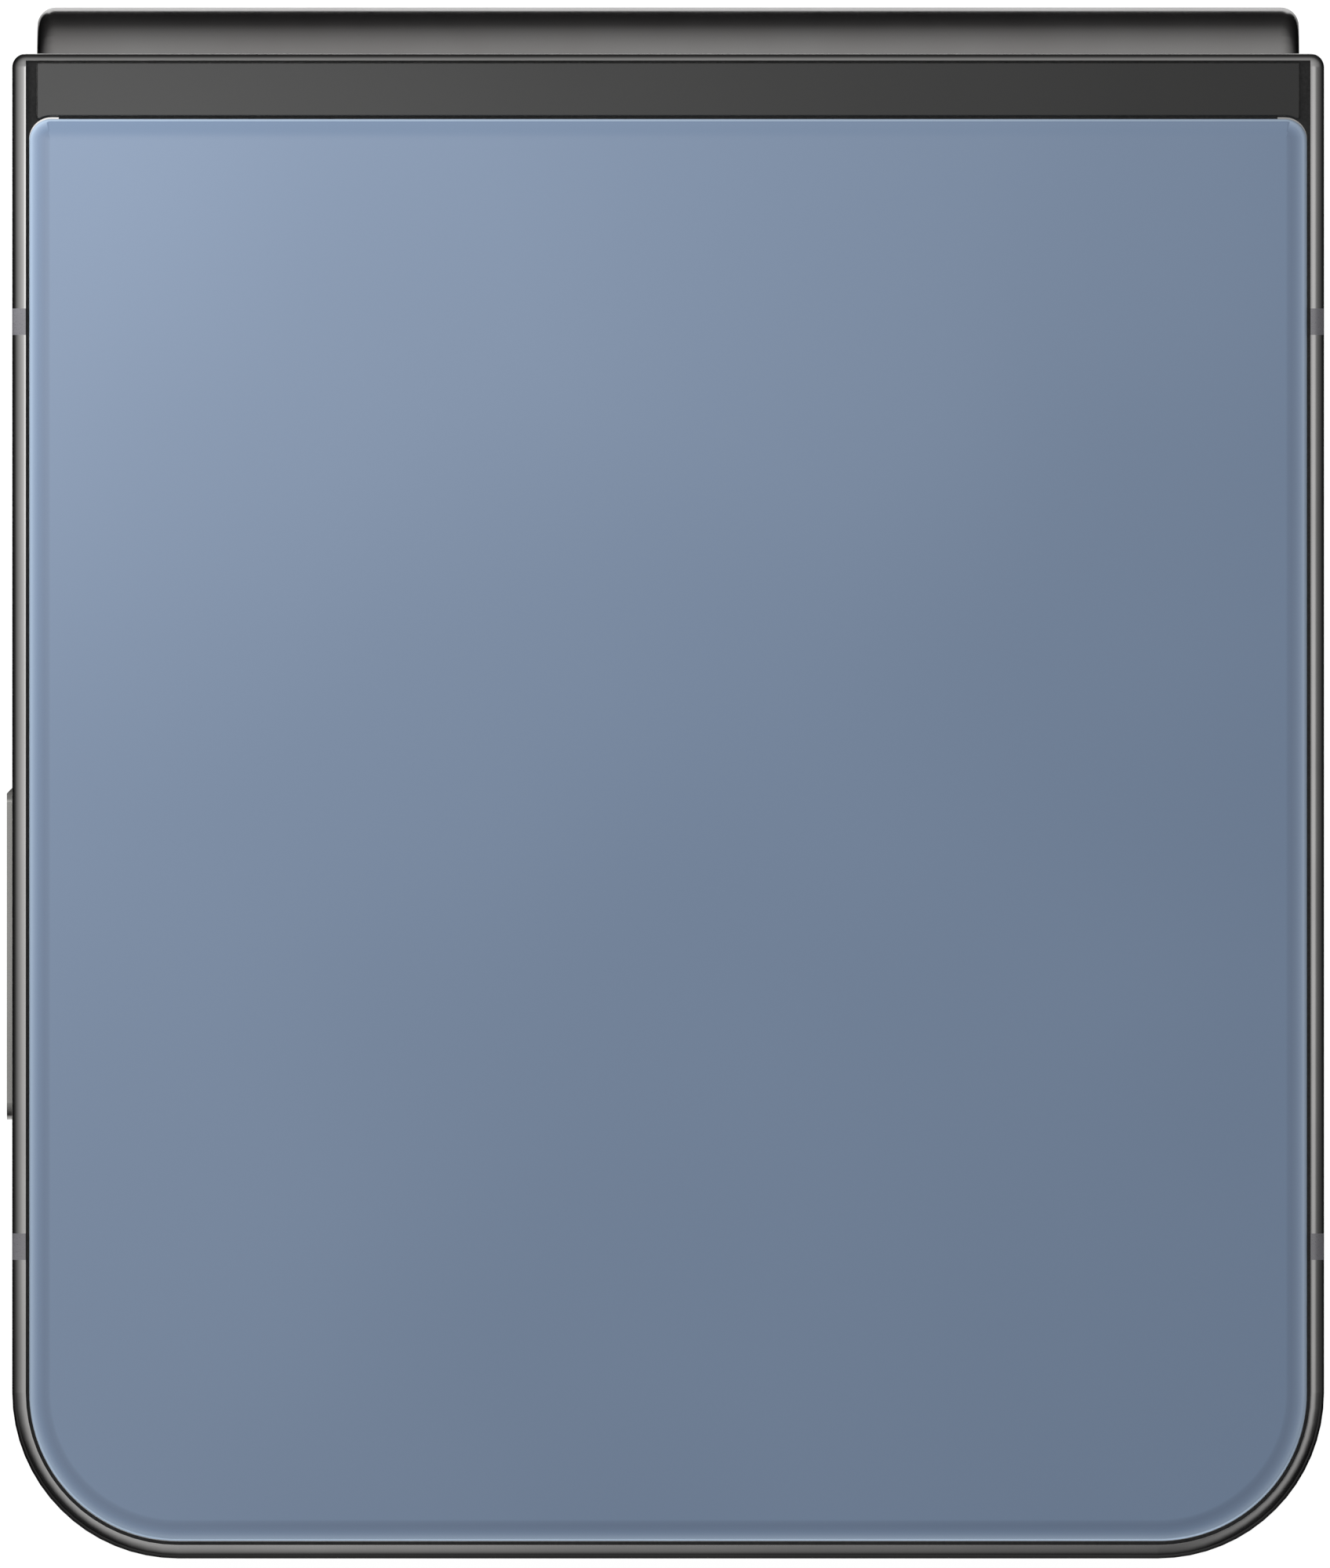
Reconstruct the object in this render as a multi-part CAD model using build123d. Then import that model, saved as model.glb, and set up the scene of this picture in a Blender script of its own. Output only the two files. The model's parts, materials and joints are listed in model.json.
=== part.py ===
from build123d import *
import math
import os

# Flip phone: two half shells on a two-pivot geared hinge, with a folding inner screen.
# Everything is modelled closed, in millimetres, around the fold:
#   x runs across the phone, y = 0 at the hinge edge of both halves and falls towards
#   their far ends, z = 0 on the mid-plane between the halves.
# The lower half lies at z > 0, its back glass up. The upper half is built the same way
# round and then mirrored about the mid-plane. export_part() moves all to the row frame.

# ---------------------------------------------------------------- overall sizes
phone_width = 71.9
half_length = 82.5
half_thickness = 6.9
corner_radius = 9.1
hinge_corner_radius = 0.75
edge_fillet = 0.7
inner_edge_fillet = 0.3
fold_gap = 0.3
bezel_rise = 0.5
lens_rise = 1.0

# ---------------------------------------------------------------- walls and plates
rail_wall = 2.0
knuckle_rail_wall = 1.2
far_wall = 2.0
bay_corner_radius = 1.0
midplate_thickness = 1.0
glass_thickness = 0.65
glass_inset = 0.94
pocket_inset = 0.75
glass_hinge_setback = 3.5
glass_hinge_radius = 1.2
glass_edge_fillet = 0.3
trim_gap = 0.17
trim_hinge_setback = 0.38
trim_recess = 0.1
trim_hinge_gap = 0.13
trim_end_gap = 0.61

# ---------------------------------------------------------------- inner screen
screen_thickness = 0.6
screen_inset = 2.85
screen_gap = 0.1
screen_bond = 0.05
fold_apex_depth = 1.70
fold_bulge_radius = 2.2
fold_neck_depth = 8.2
fold_relief = 0.12
bezel_inset = 0.6
bezel_width = 3.05
bezel_hinge_setback = 2.45
bumper_radius = 0.7
bumper_gap = 0.02

# ---------------------------------------------------------------- hinge
pivot_depth = 1.15
pivot_rise = 1.2
spine_radius = 3.75
spine_wall = 0.5
spine_clearance = 0.15
spine_end_fillet = 1.0
rail_side_gap = 0.13
knuckle_radius = 1.05
knuckle_inset = 0.2
hinge_beam_end = 7.6
pin_radius = 0.42
pin_clearance = 0.03
pin_reach = 0.75
seat_clearance = 0.01
block_wall = 0.25
gear_width = 0.5
gear_side_gap = 0.05
bearing_wall = 0.35
block_fit = 0.03
block_face_depth = 0.5
lobe_radius = 1.0
bearing_reach = 1.25
bearing_fit = 0.05
washer_radius = 0.85
washer_gap = 0.03
washer_notch_fit = 0.05
plate_thickness = 0.4
plate_gap = 0.05
plate_half_height = 4.3
plate_side_gap = 0.1
rib_width = 1.2
rib_spacing = 20.0
spine_screw_rise = 2.2
brush_thickness = 0.13
brush_width = 0.5
brush_setback = 0.1

# ---------------------------------------------------------------- hinge gears
gear_teeth = 12
gear_module = 0.125
gear_backlash = 0.03
idler_bore_radius = 0.31
axle_radius = 0.28
gear_pocket_gap = 0.055

# ---------------------------------------------------------------- rails: bands, keys, tray
band_width = 1.45
band_depth = 1.2
band_near = 14.7
band_far = 65.4
key_fit = 0.1
key_mouth_depth = 1.15
key_flange_thickness = 0.35
key_flange_lip = 0.5
key_flange_depth = 1.75
key_end_radius = 0.9
volume_key_centre = 49.31
volume_key_length = 18.36
volume_key_height = 2.4
volume_key_rise = 0.40
volume_key_ramp = 0.43
side_key_centre = 31.5
side_key_length = 11.5
side_key_height = 2.6
side_key_recess = 0.04
switch_thickness = 0.6
switch_flex_thickness = 0.2
switch_length = 3.0
switch_height = 1.6
switch_spread = 6.0
tray_centre = 38.5
tray_length = 15.4
tray_width = 10.4
tray_thickness = 0.8
tray_face_length = 12.6
tray_face_height = 1.9
tray_face_depth = 1.0
tray_face_recess = 0.04
tray_fit = 0.12
card_length = 12.4
card_width = 8.9
card_depth = 0.5
card_margin = 1.0
eject_hole_radius = 0.4
eject_hole_offset = 5.2
eject_hole_depth = 1.0
socket_wall = 0.3
socket_fit = 0.15

# ---------------------------------------------------------------- cameras
camera_far_setback = 10.05
main_camera_rail_gap = 10.45
camera_pitch = 13.5
ring_radius = 5.6
ring_neck_radius = 5.1
ring_hole_fit = 0.05
ring_bore_radius = 4.2
ring_edge_fillet = 0.25
window_radius = 4.9
window_fit = 0.05
window_thickness = 0.4
window_recess = 0.25
main_camera_side = 11.0
wide_camera_side = 9.5
wide_lens_radius = 3.4
camera_floor = 0.9
barrel_radius = 3.8
barrel_fit = 0.08
barrel_length = 2.6
barrel_travel = 0.3
barrel_eye_radius = 2.0
barrel_eye_depth = 0.6
flash_pitch = 9.5
flash_radius = 2.0
flash_fit = 0.05
flash_depth = 0.4
front_camera_side = 7.0
front_camera_far_setback = 6.6
front_lens_radius = 1.8
front_lens_fit = 0.1
front_camera_depth = 3.2

# ---------------------------------------------------------------- boards and modules
part_gap = 0.05
module_fillet = 1.0
board_lift = 0.2
board_thickness = 0.8
board_side_gap = 0.95
board_corner_cut = 6.0
board_gap = 1.5
battery_side_gap = 1.45
battery_hinge_gap = 1.4
battery_thickness = 3.7
battery_fillet = 0.8
charge_board_length = 27.5
coil_overhang = 0.5
coil_inner_radius = 10.0
coil_rim = 1.0
coil_sheet_thickness = 0.25
coil_winding_thickness = 0.3
board_tray_gap = 4.3
board_camera_gap = 3.45
board_arm_gap = 1.5
key_bay_width = 2.4
shield_height = 1.6
shield_edge_gap = 1.0
shield_socket_gap = 4.0
cover_screen_thickness = 0.43
cover_screen_side_gap = 2.9
cover_screen_flash_gap = 2.0
cover_screen_end_gap = 1.5
earpiece_width = 12.0
earpiece_length = 8.0
earpiece_height = 2.4
earpiece_slot_length = 9.0
earpiece_slot_width = 0.4
port_width = 8.94
port_height = 3.26
port_depth = 7.3
port_shell = 0.25
port_back_wall = 0.5
port_fit = 0.08
port_tongue_width = 6.7
port_tongue_thickness = 0.7
port_tongue_setback = 1.0
bracket_leg_width = 2.4
bracket_leg_gap = 0.9
bracket_thickness = 0.6
bracket_length = 5.0
bracket_end_gap = 1.6
speaker_bracket_gap = 2.98
speaker_length = 22.0
speaker_height = 3.2
speaker_side_gap = 1.0
speaker_end_gap = 2.6
speaker_corner_cut = 6.0
speaker_hole_radius = 0.55
speaker_hole_count = 6
speaker_hole_pitch = 2.2
speaker_hole_shift = 4.0
motor_side_gap = 2.5
motor_width = 11.0
motor_length = 9.5
motor_height = 3.1
motor_end_gap = 13.0
mic_port_gap = 7.03
mic_width = 3.5
mic_length = 2.6
mic_height = 1.1
mic_hole_radius = 0.4
screw_head_radius = 0.9
screw_head_height = 0.5
screw_shank_radius = 0.5
screw_depth = 0.6
screw_edge_gap = 2.6
spine_screw_head_radius = 0.7
spine_screw_head_height = 0.2
spine_screw_shank_radius = 0.35
spine_screw_length = 1.8

# ---------------------------------------------------------------- places worked out
half_width = phone_width / 2
far_y = -half_length
inner_z = fold_gap / 2 + bezel_rise
back_z = inner_z + half_thickness
bezel_z = fold_gap / 2
rail_mid_z = (inner_z + back_z) / 2
glass_z = back_z - glass_thickness
screen_back_z = inner_z + screen_thickness
midplate_z = screen_back_z + screen_bond
bay_z = midplate_z + midplate_thickness
bay_side_x = half_width - rail_wall
key_flange_x = half_width - key_flange_depth
bay_far_y = far_y + far_wall
bay_hinge_y = -hinge_beam_end
fold_neck_y = -fold_neck_depth
fold_centre_y = -fold_apex_depth - fold_bulge_radius
pivot_y = -pivot_depth
knuckle_x = half_width - knuckle_rail_wall
spine_half_length = knuckle_x - rail_side_gap
block_inner_x = half_width - screen_inset + screen_gap
pin_end_x = knuckle_x + pin_reach
pocket_radius = spine_radius + spine_clearance
lip_z = pivot_rise + pocket_radius
gear_pitch_radius = gear_module * gear_teeth / 2
gear_tip_radius = gear_pitch_radius + gear_module
gear_x = block_inner_x + block_wall + gear_side_gap
bearing_x = gear_x + gear_width + gear_side_gap
block_end_x = bearing_x + bearing_wall
idler_rise = gear_pitch_radius
idler_offset = math.sqrt((2 * gear_pitch_radius) ** 2 - (pivot_rise - idler_rise) ** 2)
idler_y = pivot_y + idler_offset
plate_front_y = -fold_apex_depth + screen_thickness + plate_gap
plate_back_y = plate_front_y + plate_thickness
board_z = bay_z + board_lift
board_top_z = board_z + board_thickness
board_side_x = bay_side_x - board_side_gap
speaker_outer_x = board_side_x - speaker_side_gap
bracket_inner_x = port_width / 2 + port_shell + bracket_leg_gap
bracket_outer_x = bracket_inner_x + bracket_leg_width
speaker_inner_x = bracket_outer_x + speaker_bracket_gap
speaker_x = (speaker_inner_x + speaker_outer_x) / 2
motor_x = -board_side_x + motor_side_gap + motor_width / 2
mic_x = -port_width / 2 - mic_port_gap
board_far_y = bay_far_y + board_gap
lower_battery_end = board_far_y + charge_board_length + board_gap
battery_hinge_y = bay_hinge_y - battery_hinge_gap
coil_y = (lower_battery_end + battery_hinge_y) / 2
coil_radius = (battery_hinge_y - lower_battery_end) / 2 + coil_overhang
camera_y = far_y + camera_far_setback
main_camera_x = -half_width + main_camera_rail_gap
wide_camera_x = main_camera_x + camera_pitch
flash_x = wide_camera_x + flash_pitch
wide_board_y = camera_y + main_camera_side / 2 + board_camera_gap
upper_battery_end = -tray_centre + tray_width / 2 + board_tray_gap + board_gap
board_arm_x = front_camera_side / 2 + board_arm_gap
earpiece_x = board_arm_x + earpiece_width / 2
lens_z = back_z + lens_rise
row_mid_z = lens_z
row_edge_y = (half_length - (spine_radius - pivot_depth)) / 2


# ---------------------------------------------------------------- shape helpers
def block(x0, x1, y0, y1, z0, z1):
    """A box between its limits."""
    centre = Pos((x0 + x1) / 2, (y0 + y1) / 2, (z0 + z1) / 2)
    return centre * Box(x1 - x0, y1 - y0, z1 - z0)


def rod_x(x0, x1, y, z, radius):
    return Pos((x0 + x1) / 2, y, z) * Rot(0, 90, 0) * Cylinder(radius, x1 - x0)


def rod_y(x, y0, y1, z, radius):
    return Pos(x, (y0 + y1) / 2, z) * Rot(90, 0, 0) * Cylinder(radius, y1 - y0)


def rod_z(x, y, z0, z1, radius):
    return Pos(x, y, (z0 + z1) / 2) * Cylinder(radius, z1 - z0)


def prism_x(profile, x0, x1):
    """A profile drawn in (y, z), drawn out along x."""
    return extrude(Plane.YZ.offset(x0) * profile, amount=x1 - x0)


def plate(outline, z0, z1):
    """An outline drawn in (x, y), drawn up along z."""
    return extrude(Pos(0, 0, z0) * outline, amount=z1 - z0)


def area(y0, y1, z0, z1):
    """A rectangle between its limits, in either drawing plane."""
    return Pos((y0 + y1) / 2, (z0 + z1) / 2) * Rectangle(y1 - y0, z1 - z0)


def both_sides(piece):
    """The piece at +x and its mirror image at -x."""
    return [piece, mirror(piece, about=Plane.YZ)]


def flip(piece):
    """A piece of the lower half's side, mirrored to the upper half's."""
    return mirror(piece, about=Plane.XY)


def half_outline(inset, near_y, near_radius):
    """The plan outline of a half, moved in by inset, that ends at near_y by the hinge."""
    low_y = far_y + inset
    sheet = area(-half_width + inset, half_width - inset, low_y, near_y)
    corners = sheet.vertices().sort_by(Axis.Y)
    sheet = fillet(corners[:2], corner_radius - inset)
    if near_radius > 0:
        corners = sheet.vertices().sort_by(Axis.Y)
        sheet = fillet(corners[-2:], near_radius)
    return sheet


def pivot_stadium(radius):
    """Both pivots' circles and what lies between them, in (y, z)."""
    return Pos(pivot_y, 0) * Rot(0, 0, 90) * SlotCenterToCenter(2 * pivot_rise, 2 * radius)


# ---------------------------------------------------------------- the screen's fold line
def fold_profile(offset):
    """The area inside the screen's teardrop fold at an offset out from its front face.

    The face leaves the flat screen at the neck on an arc that curves outwards, and runs
    round the bulge on an arc about a point of the mid-plane. This is its z > 0 side.
    """
    rise = neck_arc_radius() + inner_z
    run = fold_centre_y - fold_neck_y
    angle = math.atan2(rise, -run)
    bulge = fold_bulge_radius + offset
    joint = (fold_centre_y + bulge * math.cos(angle), bulge * math.sin(angle))
    neck_radius = neck_arc_radius() - offset
    half_turn = (math.pi - angle) / 2 + math.pi / 4
    neck_mid = (fold_neck_y + neck_radius * math.cos(-half_turn),
                rise + neck_radius * math.sin(-half_turn))
    bulge_mid = (fold_centre_y + bulge * math.cos(angle / 2), bulge * math.sin(angle / 2))
    neck = (fold_neck_y, inner_z + offset)
    tip = (fold_centre_y + bulge, 0)
    edges = Line((fold_neck_y, 0), neck)
    edges += ThreePointArc(neck, neck_mid, joint)
    edges += ThreePointArc(joint, bulge_mid, tip)
    edges += Line(tip, (fold_neck_y, 0))
    return make_face(edges)


def neck_arc_radius():
    """Radius of the outward arc that joins the flat screen to the bulge."""
    run = fold_centre_y - fold_neck_y
    return (run ** 2 + inner_z ** 2 - fold_bulge_radius ** 2) / (2 * (fold_bulge_radius - inner_z))


# ---------------------------------------------------------------- metal frame of a half
def frame_outer():
    """The frame's outer form, before anything is cut from it."""
    body = plate(half_outline(0, 0, hinge_corner_radius), inner_z, back_z)
    back_edges = body.edges().group_by(Axis.Z)[-1]
    body = fillet(back_edges, edge_fillet)
    front_edges = body.edges().group_by(Axis.Z)[0]
    return fillet(front_edges, inner_edge_fillet)


def glass_pocket():
    return plate(half_outline(pocket_inset, -trim_hinge_setback, 0), glass_z, back_z + 1)


def hinge_pocket():
    """The room that a half leaves for the spine over the whole fold."""
    room = Pos(pivot_y, pivot_rise) * Circle(pocket_radius)
    room += area(pivot_y - pocket_radius, 1, -1, pivot_rise)
    room += area(pivot_y, 1, -1, lip_z)
    return prism_x(room, -knuckle_x, knuckle_x)


def band_boxes():
    """Where the plastic antenna breaks cross the rails."""
    boxes = []
    for depth in (band_near, band_far):
        slab = block(half_width - band_depth, half_width + 1, -depth - band_width / 2,
                     -depth + band_width / 2, inner_z - 1, back_z + 1)
        boxes += both_sides(slab)
    return boxes


def half_frame():
    frame = frame_outer() - glass_pocket() - hinge_pocket()
    bay = half_outline(far_wall, bay_hinge_y, bay_corner_radius)
    bay &= area(-bay_side_x, bay_side_x, bay_far_y, bay_hinge_y)
    frame -= plate(bay, bay_z, back_z)
    screen_room = half_outline(screen_inset - screen_gap, 1, 0)
    frame -= plate(screen_room, 0, midplate_z)
    screen_room_x = half_width - screen_inset + screen_gap
    frame -= prism_x(fold_profile(screen_thickness + fold_relief), -screen_room_x, screen_room_x)
    # Bezel shelves beside the fold, and the round knuckles that carry the hinge pins.
    shelf_y = pivot_y - pocket_radius
    shelf = block(screen_room_x, knuckle_x + 0.1, shelf_y - 0.1, -bezel_hinge_setback,
                  inner_z, screen_back_z)
    corner = block(knuckle_x - 1, half_width + 1, pivot_y, 1, 0, pivot_rise)
    knuckle = rod_x(knuckle_x, half_width - knuckle_inset, pivot_y, pivot_rise, knuckle_radius)
    pin_hole = rod_x(knuckle_x - 1, pin_end_x, pivot_y, pivot_rise, pin_radius + seat_clearance)
    for piece in both_sides(corner):
        frame -= piece
    for piece in both_sides(shelf) + both_sides(knuckle):
        frame += piece
    for piece in both_sides(pin_hole):
        frame -= piece
    return frame


def antenna_bands():
    skin = frame_outer() - glass_pocket()
    return Compound([skin & box for box in band_boxes()])


def cut_bands(frame):
    for box in band_boxes():
        frame -= box
    return frame


# ---------------------------------------------------------------- glass, trim, bezel, bumpers
def glass_panel():
    panel = plate(half_outline(glass_inset, -glass_hinge_setback, glass_hinge_radius),
                  glass_z, back_z)
    return fillet(panel.edges().group_by(Axis.Z)[-1], glass_edge_fillet)


def hinge_trim():
    """The strip by the hinge, which ends short of the rails and follows the glass's corners."""
    end_x = half_width - pocket_inset - trim_end_gap
    strip = area(-end_x, end_x, -glass_hinge_setback - glass_hinge_radius,
                 -trim_hinge_setback - trim_hinge_gap)
    strip -= half_outline(glass_inset - trim_gap, -glass_hinge_setback + trim_gap,
                          glass_hinge_radius + trim_gap)
    return plate(strip, glass_z, back_z - trim_recess)


def bezel():
    """The raised plastic rim round the inner screen, open at the hinge."""
    rim = half_outline(bezel_inset, -bezel_hinge_setback, 0)
    rim -= half_outline(bezel_inset + bezel_width, 1, 0)
    return plate(rim, bezel_z, inner_z)


def bumpers():
    """Soft pads on the bezel that the halves close on."""
    pad_x = half_width - bezel_inset - bezel_width / 2
    pads = []
    for y in (far_y + corner_radius, -half_length / 2, -bezel_hinge_setback - bezel_width):
        pads += both_sides(rod_z(pad_x, y, bumper_gap / 2, bezel_z, bumper_radius))
    return Compound(pads)


def flat_screen():
    panel = half_outline(screen_inset, fold_neck_y, 0)
    return plate(panel, inner_z, screen_back_z)


# ---------------------------------------------------------------- hinge
def display_fold():
    """The bending part of the inner screen: the teardrop between the two necks."""
    half = fold_profile(screen_thickness) - fold_profile(0)
    side_x = half_width - screen_inset
    loop = prism_x(half, -side_x, side_x)
    return loop + flip(loop)


def spine_screw_spots():
    return [(x, z) for x in (-rib_spacing, 0, rib_spacing)
            for z in (-spine_screw_rise, spine_screw_rise)]


def spine_screws():
    """Flat screws that hold the centre plate on the spine's ribs, heads to the fold."""
    screws = []
    for x, z in spine_screw_spots():
        head = rod_y(x, plate_front_y, plate_front_y + spine_screw_head_height, z,
                     spine_screw_head_radius)
        shank = rod_y(x, plate_front_y, plate_front_y + spine_screw_length, z,
                      spine_screw_shank_radius)
        screws.append(head + shank)
    return Compound(screws)


def screw_room():
    """The holes that the spine screws pass through, a little larger than they are."""
    rooms = []
    for x, z in spine_screw_spots():
        head = rod_y(x, plate_front_y - 1, plate_front_y + spine_screw_head_height, z,
                     spine_screw_head_radius + seat_clearance)
        shank = rod_y(x, plate_front_y, plate_front_y + spine_screw_length, z,
                      spine_screw_shank_radius + seat_clearance)
        rooms += [head, shank]
    return rooms


def spine_cover():
    shell = prism_x(pivot_stadium(spine_radius), -spine_half_length, spine_half_length)
    for side in (0, -1):
        shell = fillet(shell.edges().group_by(Axis.X)[side], spine_end_fillet)
    hollow_x = bearing_x + block_fit
    reach = 2 * spine_radius
    hollow = prism_x(pivot_stadium(spine_radius - spine_wall), -hollow_x, hollow_x)
    shell -= hollow
    # Ribs that carry the centre plate.
    for x in (-rib_spacing, 0, rib_spacing):
        rib = prism_x(pivot_stadium(spine_radius - spine_wall / 2), x - rib_width / 2,
                      x + rib_width / 2)
        shell += rib - block(x - rib_width, x + rib_width, -reach, plate_back_y, -reach, reach)
    shell -= block(-half_width, half_width, -reach, plate_front_y, -reach, reach)
    # Shallow end pockets for the bearing walls, open at the pins and their washers.
    lobe_z = pivot_rise + lobe_radius
    pocket = block(bearing_x, block_end_x + block_fit, -reach, bearing_reach + bearing_fit,
                   -lobe_z - bearing_fit, lobe_z + bearing_fit)
    notch = block(bearing_x, half_width, -reach, pivot_y + washer_radius + washer_notch_fit,
                  -lobe_z - bearing_fit, lobe_z + bearing_fit)
    for piece in both_sides(pocket) + both_sides(notch):
        shell -= piece
    for room in screw_room():
        shell -= room
    return shell


def hinge_block():
    """The carrier in the spine's +x end: two bearing walls with the gears between them."""
    depth = -pivot_y + lobe_radius
    lobes = pivot_stadium(lobe_radius)
    lobe_z = pivot_rise + lobe_radius
    wall = lobes + area(pivot_y, bearing_reach, -lobe_z, lobe_z)
    body = pivot_stadium(spine_radius - spine_wall - block_fit)
    body &= area(-block_face_depth, depth + spine_radius, -spine_radius * 2, spine_radius * 2)
    carrier = prism_x(body, block_inner_x, bearing_x)
    carrier += prism_x(wall, block_inner_x, gear_x - gear_side_gap)
    carrier += prism_x(wall, bearing_x, block_end_x)
    for y, z in gear_spots():
        room = gear_tip_radius + gear_pocket_gap
        carrier -= rod_x(gear_x - gear_side_gap, bearing_x, y, z, room)
    for z in (-pivot_rise, pivot_rise):
        carrier -= rod_x(block_inner_x - 1, half_width, pivot_y, z, pin_radius + pin_clearance)
    for z in (-idler_rise, idler_rise):
        carrier -= rod_x(block_inner_x - 1, half_width, idler_y, z, axle_radius + seat_clearance)
    return carrier


def centre_plate():
    """The stiff strip that backs the screen at the fold when the phone is open."""
    side_x = block_inner_x - plate_side_gap
    strip = block(-side_x, side_x, plate_front_y, plate_back_y, -plate_half_height,
                  plate_half_height)
    for room in screw_room():
        strip -= room
    return strip


def friction_washers():
    washers = []
    for z in (-pivot_rise, pivot_rise):
        disc = rod_x(block_end_x + washer_gap, knuckle_x - washer_gap, pivot_y, z, washer_radius)
        disc -= rod_x(block_end_x, knuckle_x, pivot_y, z, pin_radius + pin_clearance)
        washers += both_sides(disc)
    return Compound(washers)


def dust_brush():
    """The felt strip under a half's hinge lip."""
    side_x = spine_half_length - spine_end_fillet
    return block(-side_x, side_x, -brush_setback - brush_width, -brush_setback,
                 lip_z - brush_thickness, lip_z)


# ---------------------------------------------------------------- gears
def gear_spots():
    """Centres of the four gears of a train, from the upper half's to the lower half's."""
    return [(pivot_y, -pivot_rise), (idler_y, -idler_rise),
            (idler_y, idler_rise), (pivot_y, pivot_rise)]


def gear_phases():
    """How far each gear's first tooth is turned, so that the four are in mesh."""
    pitch = 360 / gear_teeth
    to_pivot = math.degrees(math.atan2(pivot_rise - idler_rise, pivot_y - idler_y))
    lower_idler = -90.0
    ahead = (lower_idler - to_pivot) % pitch
    lower_pivot = to_pivot + 180 - ahead + pitch / 2
    upper_idler = -lower_idler + pitch / 2
    upper_pivot = -lower_pivot + pitch / 2
    return [upper_pivot, upper_idler, lower_idler, lower_pivot]


def gear_profile(phase):
    """A toothed wheel with straight flanks, drawn about its own centre."""
    root_radius = gear_pitch_radius - 1.25 * gear_module
    pitch_half = (math.pi * gear_module / 2 - gear_backlash) / 2
    tip_half = pitch_half - gear_module * math.tan(math.radians(20))
    root_half = pitch_half + 1.25 * gear_module * math.tan(math.radians(20))
    wheel = Circle(root_radius)
    foot = root_radius * 0.9
    for index in range(gear_teeth):
        tooth = Polygon((foot, -root_half), (root_radius, -root_half), (gear_tip_radius, -tip_half),
                        (gear_tip_radius, tip_half), (root_radius, root_half), (foot, root_half),
                        align=None)
        wheel += Rot(0, 0, phase + index * 360 / gear_teeth) * tooth
    return wheel


def gear(index):
    """One gear at the spine's +x end, 0 to 3 from the upper half to the lower half."""
    y, z = gear_spots()[index]
    profile = Pos(y, z) * gear_profile(gear_phases()[index])
    return prism_x(profile, gear_x, gear_x + gear_width)


def idler_gears(index):
    y, z = gear_spots()[index]
    bore = rod_x(gear_x - 1, gear_x + gear_width + 1, y, z, idler_bore_radius)
    return Compound(both_sides(gear(index) - bore))


def pivot_gears(index):
    """The pins fixed in a half's knuckles, with the gear that each carries."""
    y, z = gear_spots()[index]
    pin = rod_x(block_inner_x, pin_end_x, y, z, pin_radius)
    return Compound(both_sides(gear(index) + pin))


def idler_axles():
    axles = []
    for z in (-idler_rise, idler_rise):
        axles += both_sides(rod_x(block_inner_x, block_end_x, idler_y, z, axle_radius))
    return Compound(axles)


# ---------------------------------------------------------------- keys and tray
def key_body(centre, length, height, face_x, mouth_grow):
    """A key's outer bar, or with mouth_grow the hole for it, at the +x side."""
    half = length / 2 + mouth_grow
    tall = height / 2 + mouth_grow
    x0 = key_flange_x + key_flange_thickness
    bar = area(-centre - half, -centre + half, rail_mid_z - tall, rail_mid_z + tall)
    bar = fillet(bar.vertices(), min(key_end_radius, tall * 0.9) + mouth_grow * 0.5)
    return prism_x(bar, x0, face_x)


def key_flange(centre, length, height):
    return block(key_flange_x, key_flange_x + key_flange_thickness,
                 -centre - length / 2 - key_flange_lip, -centre + length / 2 + key_flange_lip,
                 rail_mid_z - height / 2 - key_flange_lip, rail_mid_z + height / 2 + key_flange_lip)


def make_key(centre, length, height, face_x):
    """A key in the upper half's -x rail."""
    key = key_body(centre, length, height, face_x, 0) + key_flange(centre, length, height)
    return flip(mirror(key, about=Plane.YZ))


def key_end_wedges(centre, length, face_x, rise, ramp):
    """What comes off a proud key's ends, so that they slope down to the rail."""
    wedges = []
    for way in (-1, 1):
        end_y = -centre + way * length / 2
        wedge = Polygon((face_x - rise, end_y), (face_x, end_y - way * ramp),
                        (face_x + 1, end_y - way * ramp), (face_x + 1, end_y + way),
                        (face_x - rise, end_y + way), align=None)
        wedges.append(flip(mirror(plate(wedge, 0, back_z), about=Plane.YZ)))
    return wedges


def key_room(centre, length, height):
    """The mouth in the rail and the wider room behind it, at +x on the lower side."""
    mouth = key_body(centre, length, height, half_width + 1, key_fit)
    lip = key_flange_lip + 2 * key_fit
    behind = block(bay_side_x - 1, half_width - key_mouth_depth,
                   -centre - length / 2 - lip, -centre + length / 2 + lip,
                   rail_mid_z - height / 2 - lip, rail_mid_z + height / 2 + lip)
    return mirror(mouth + behind, about=Plane.YZ)


def volume_key():
    face_x = half_width + volume_key_rise
    key = make_key(volume_key_centre, volume_key_length, volume_key_height, face_x)
    for wedge in key_end_wedges(volume_key_centre, volume_key_length, face_x, volume_key_rise,
                                volume_key_ramp):
        key -= wedge
    return key


def side_key():
    return make_key(side_key_centre, side_key_length, side_key_height,
                    half_width - side_key_recess)


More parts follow.
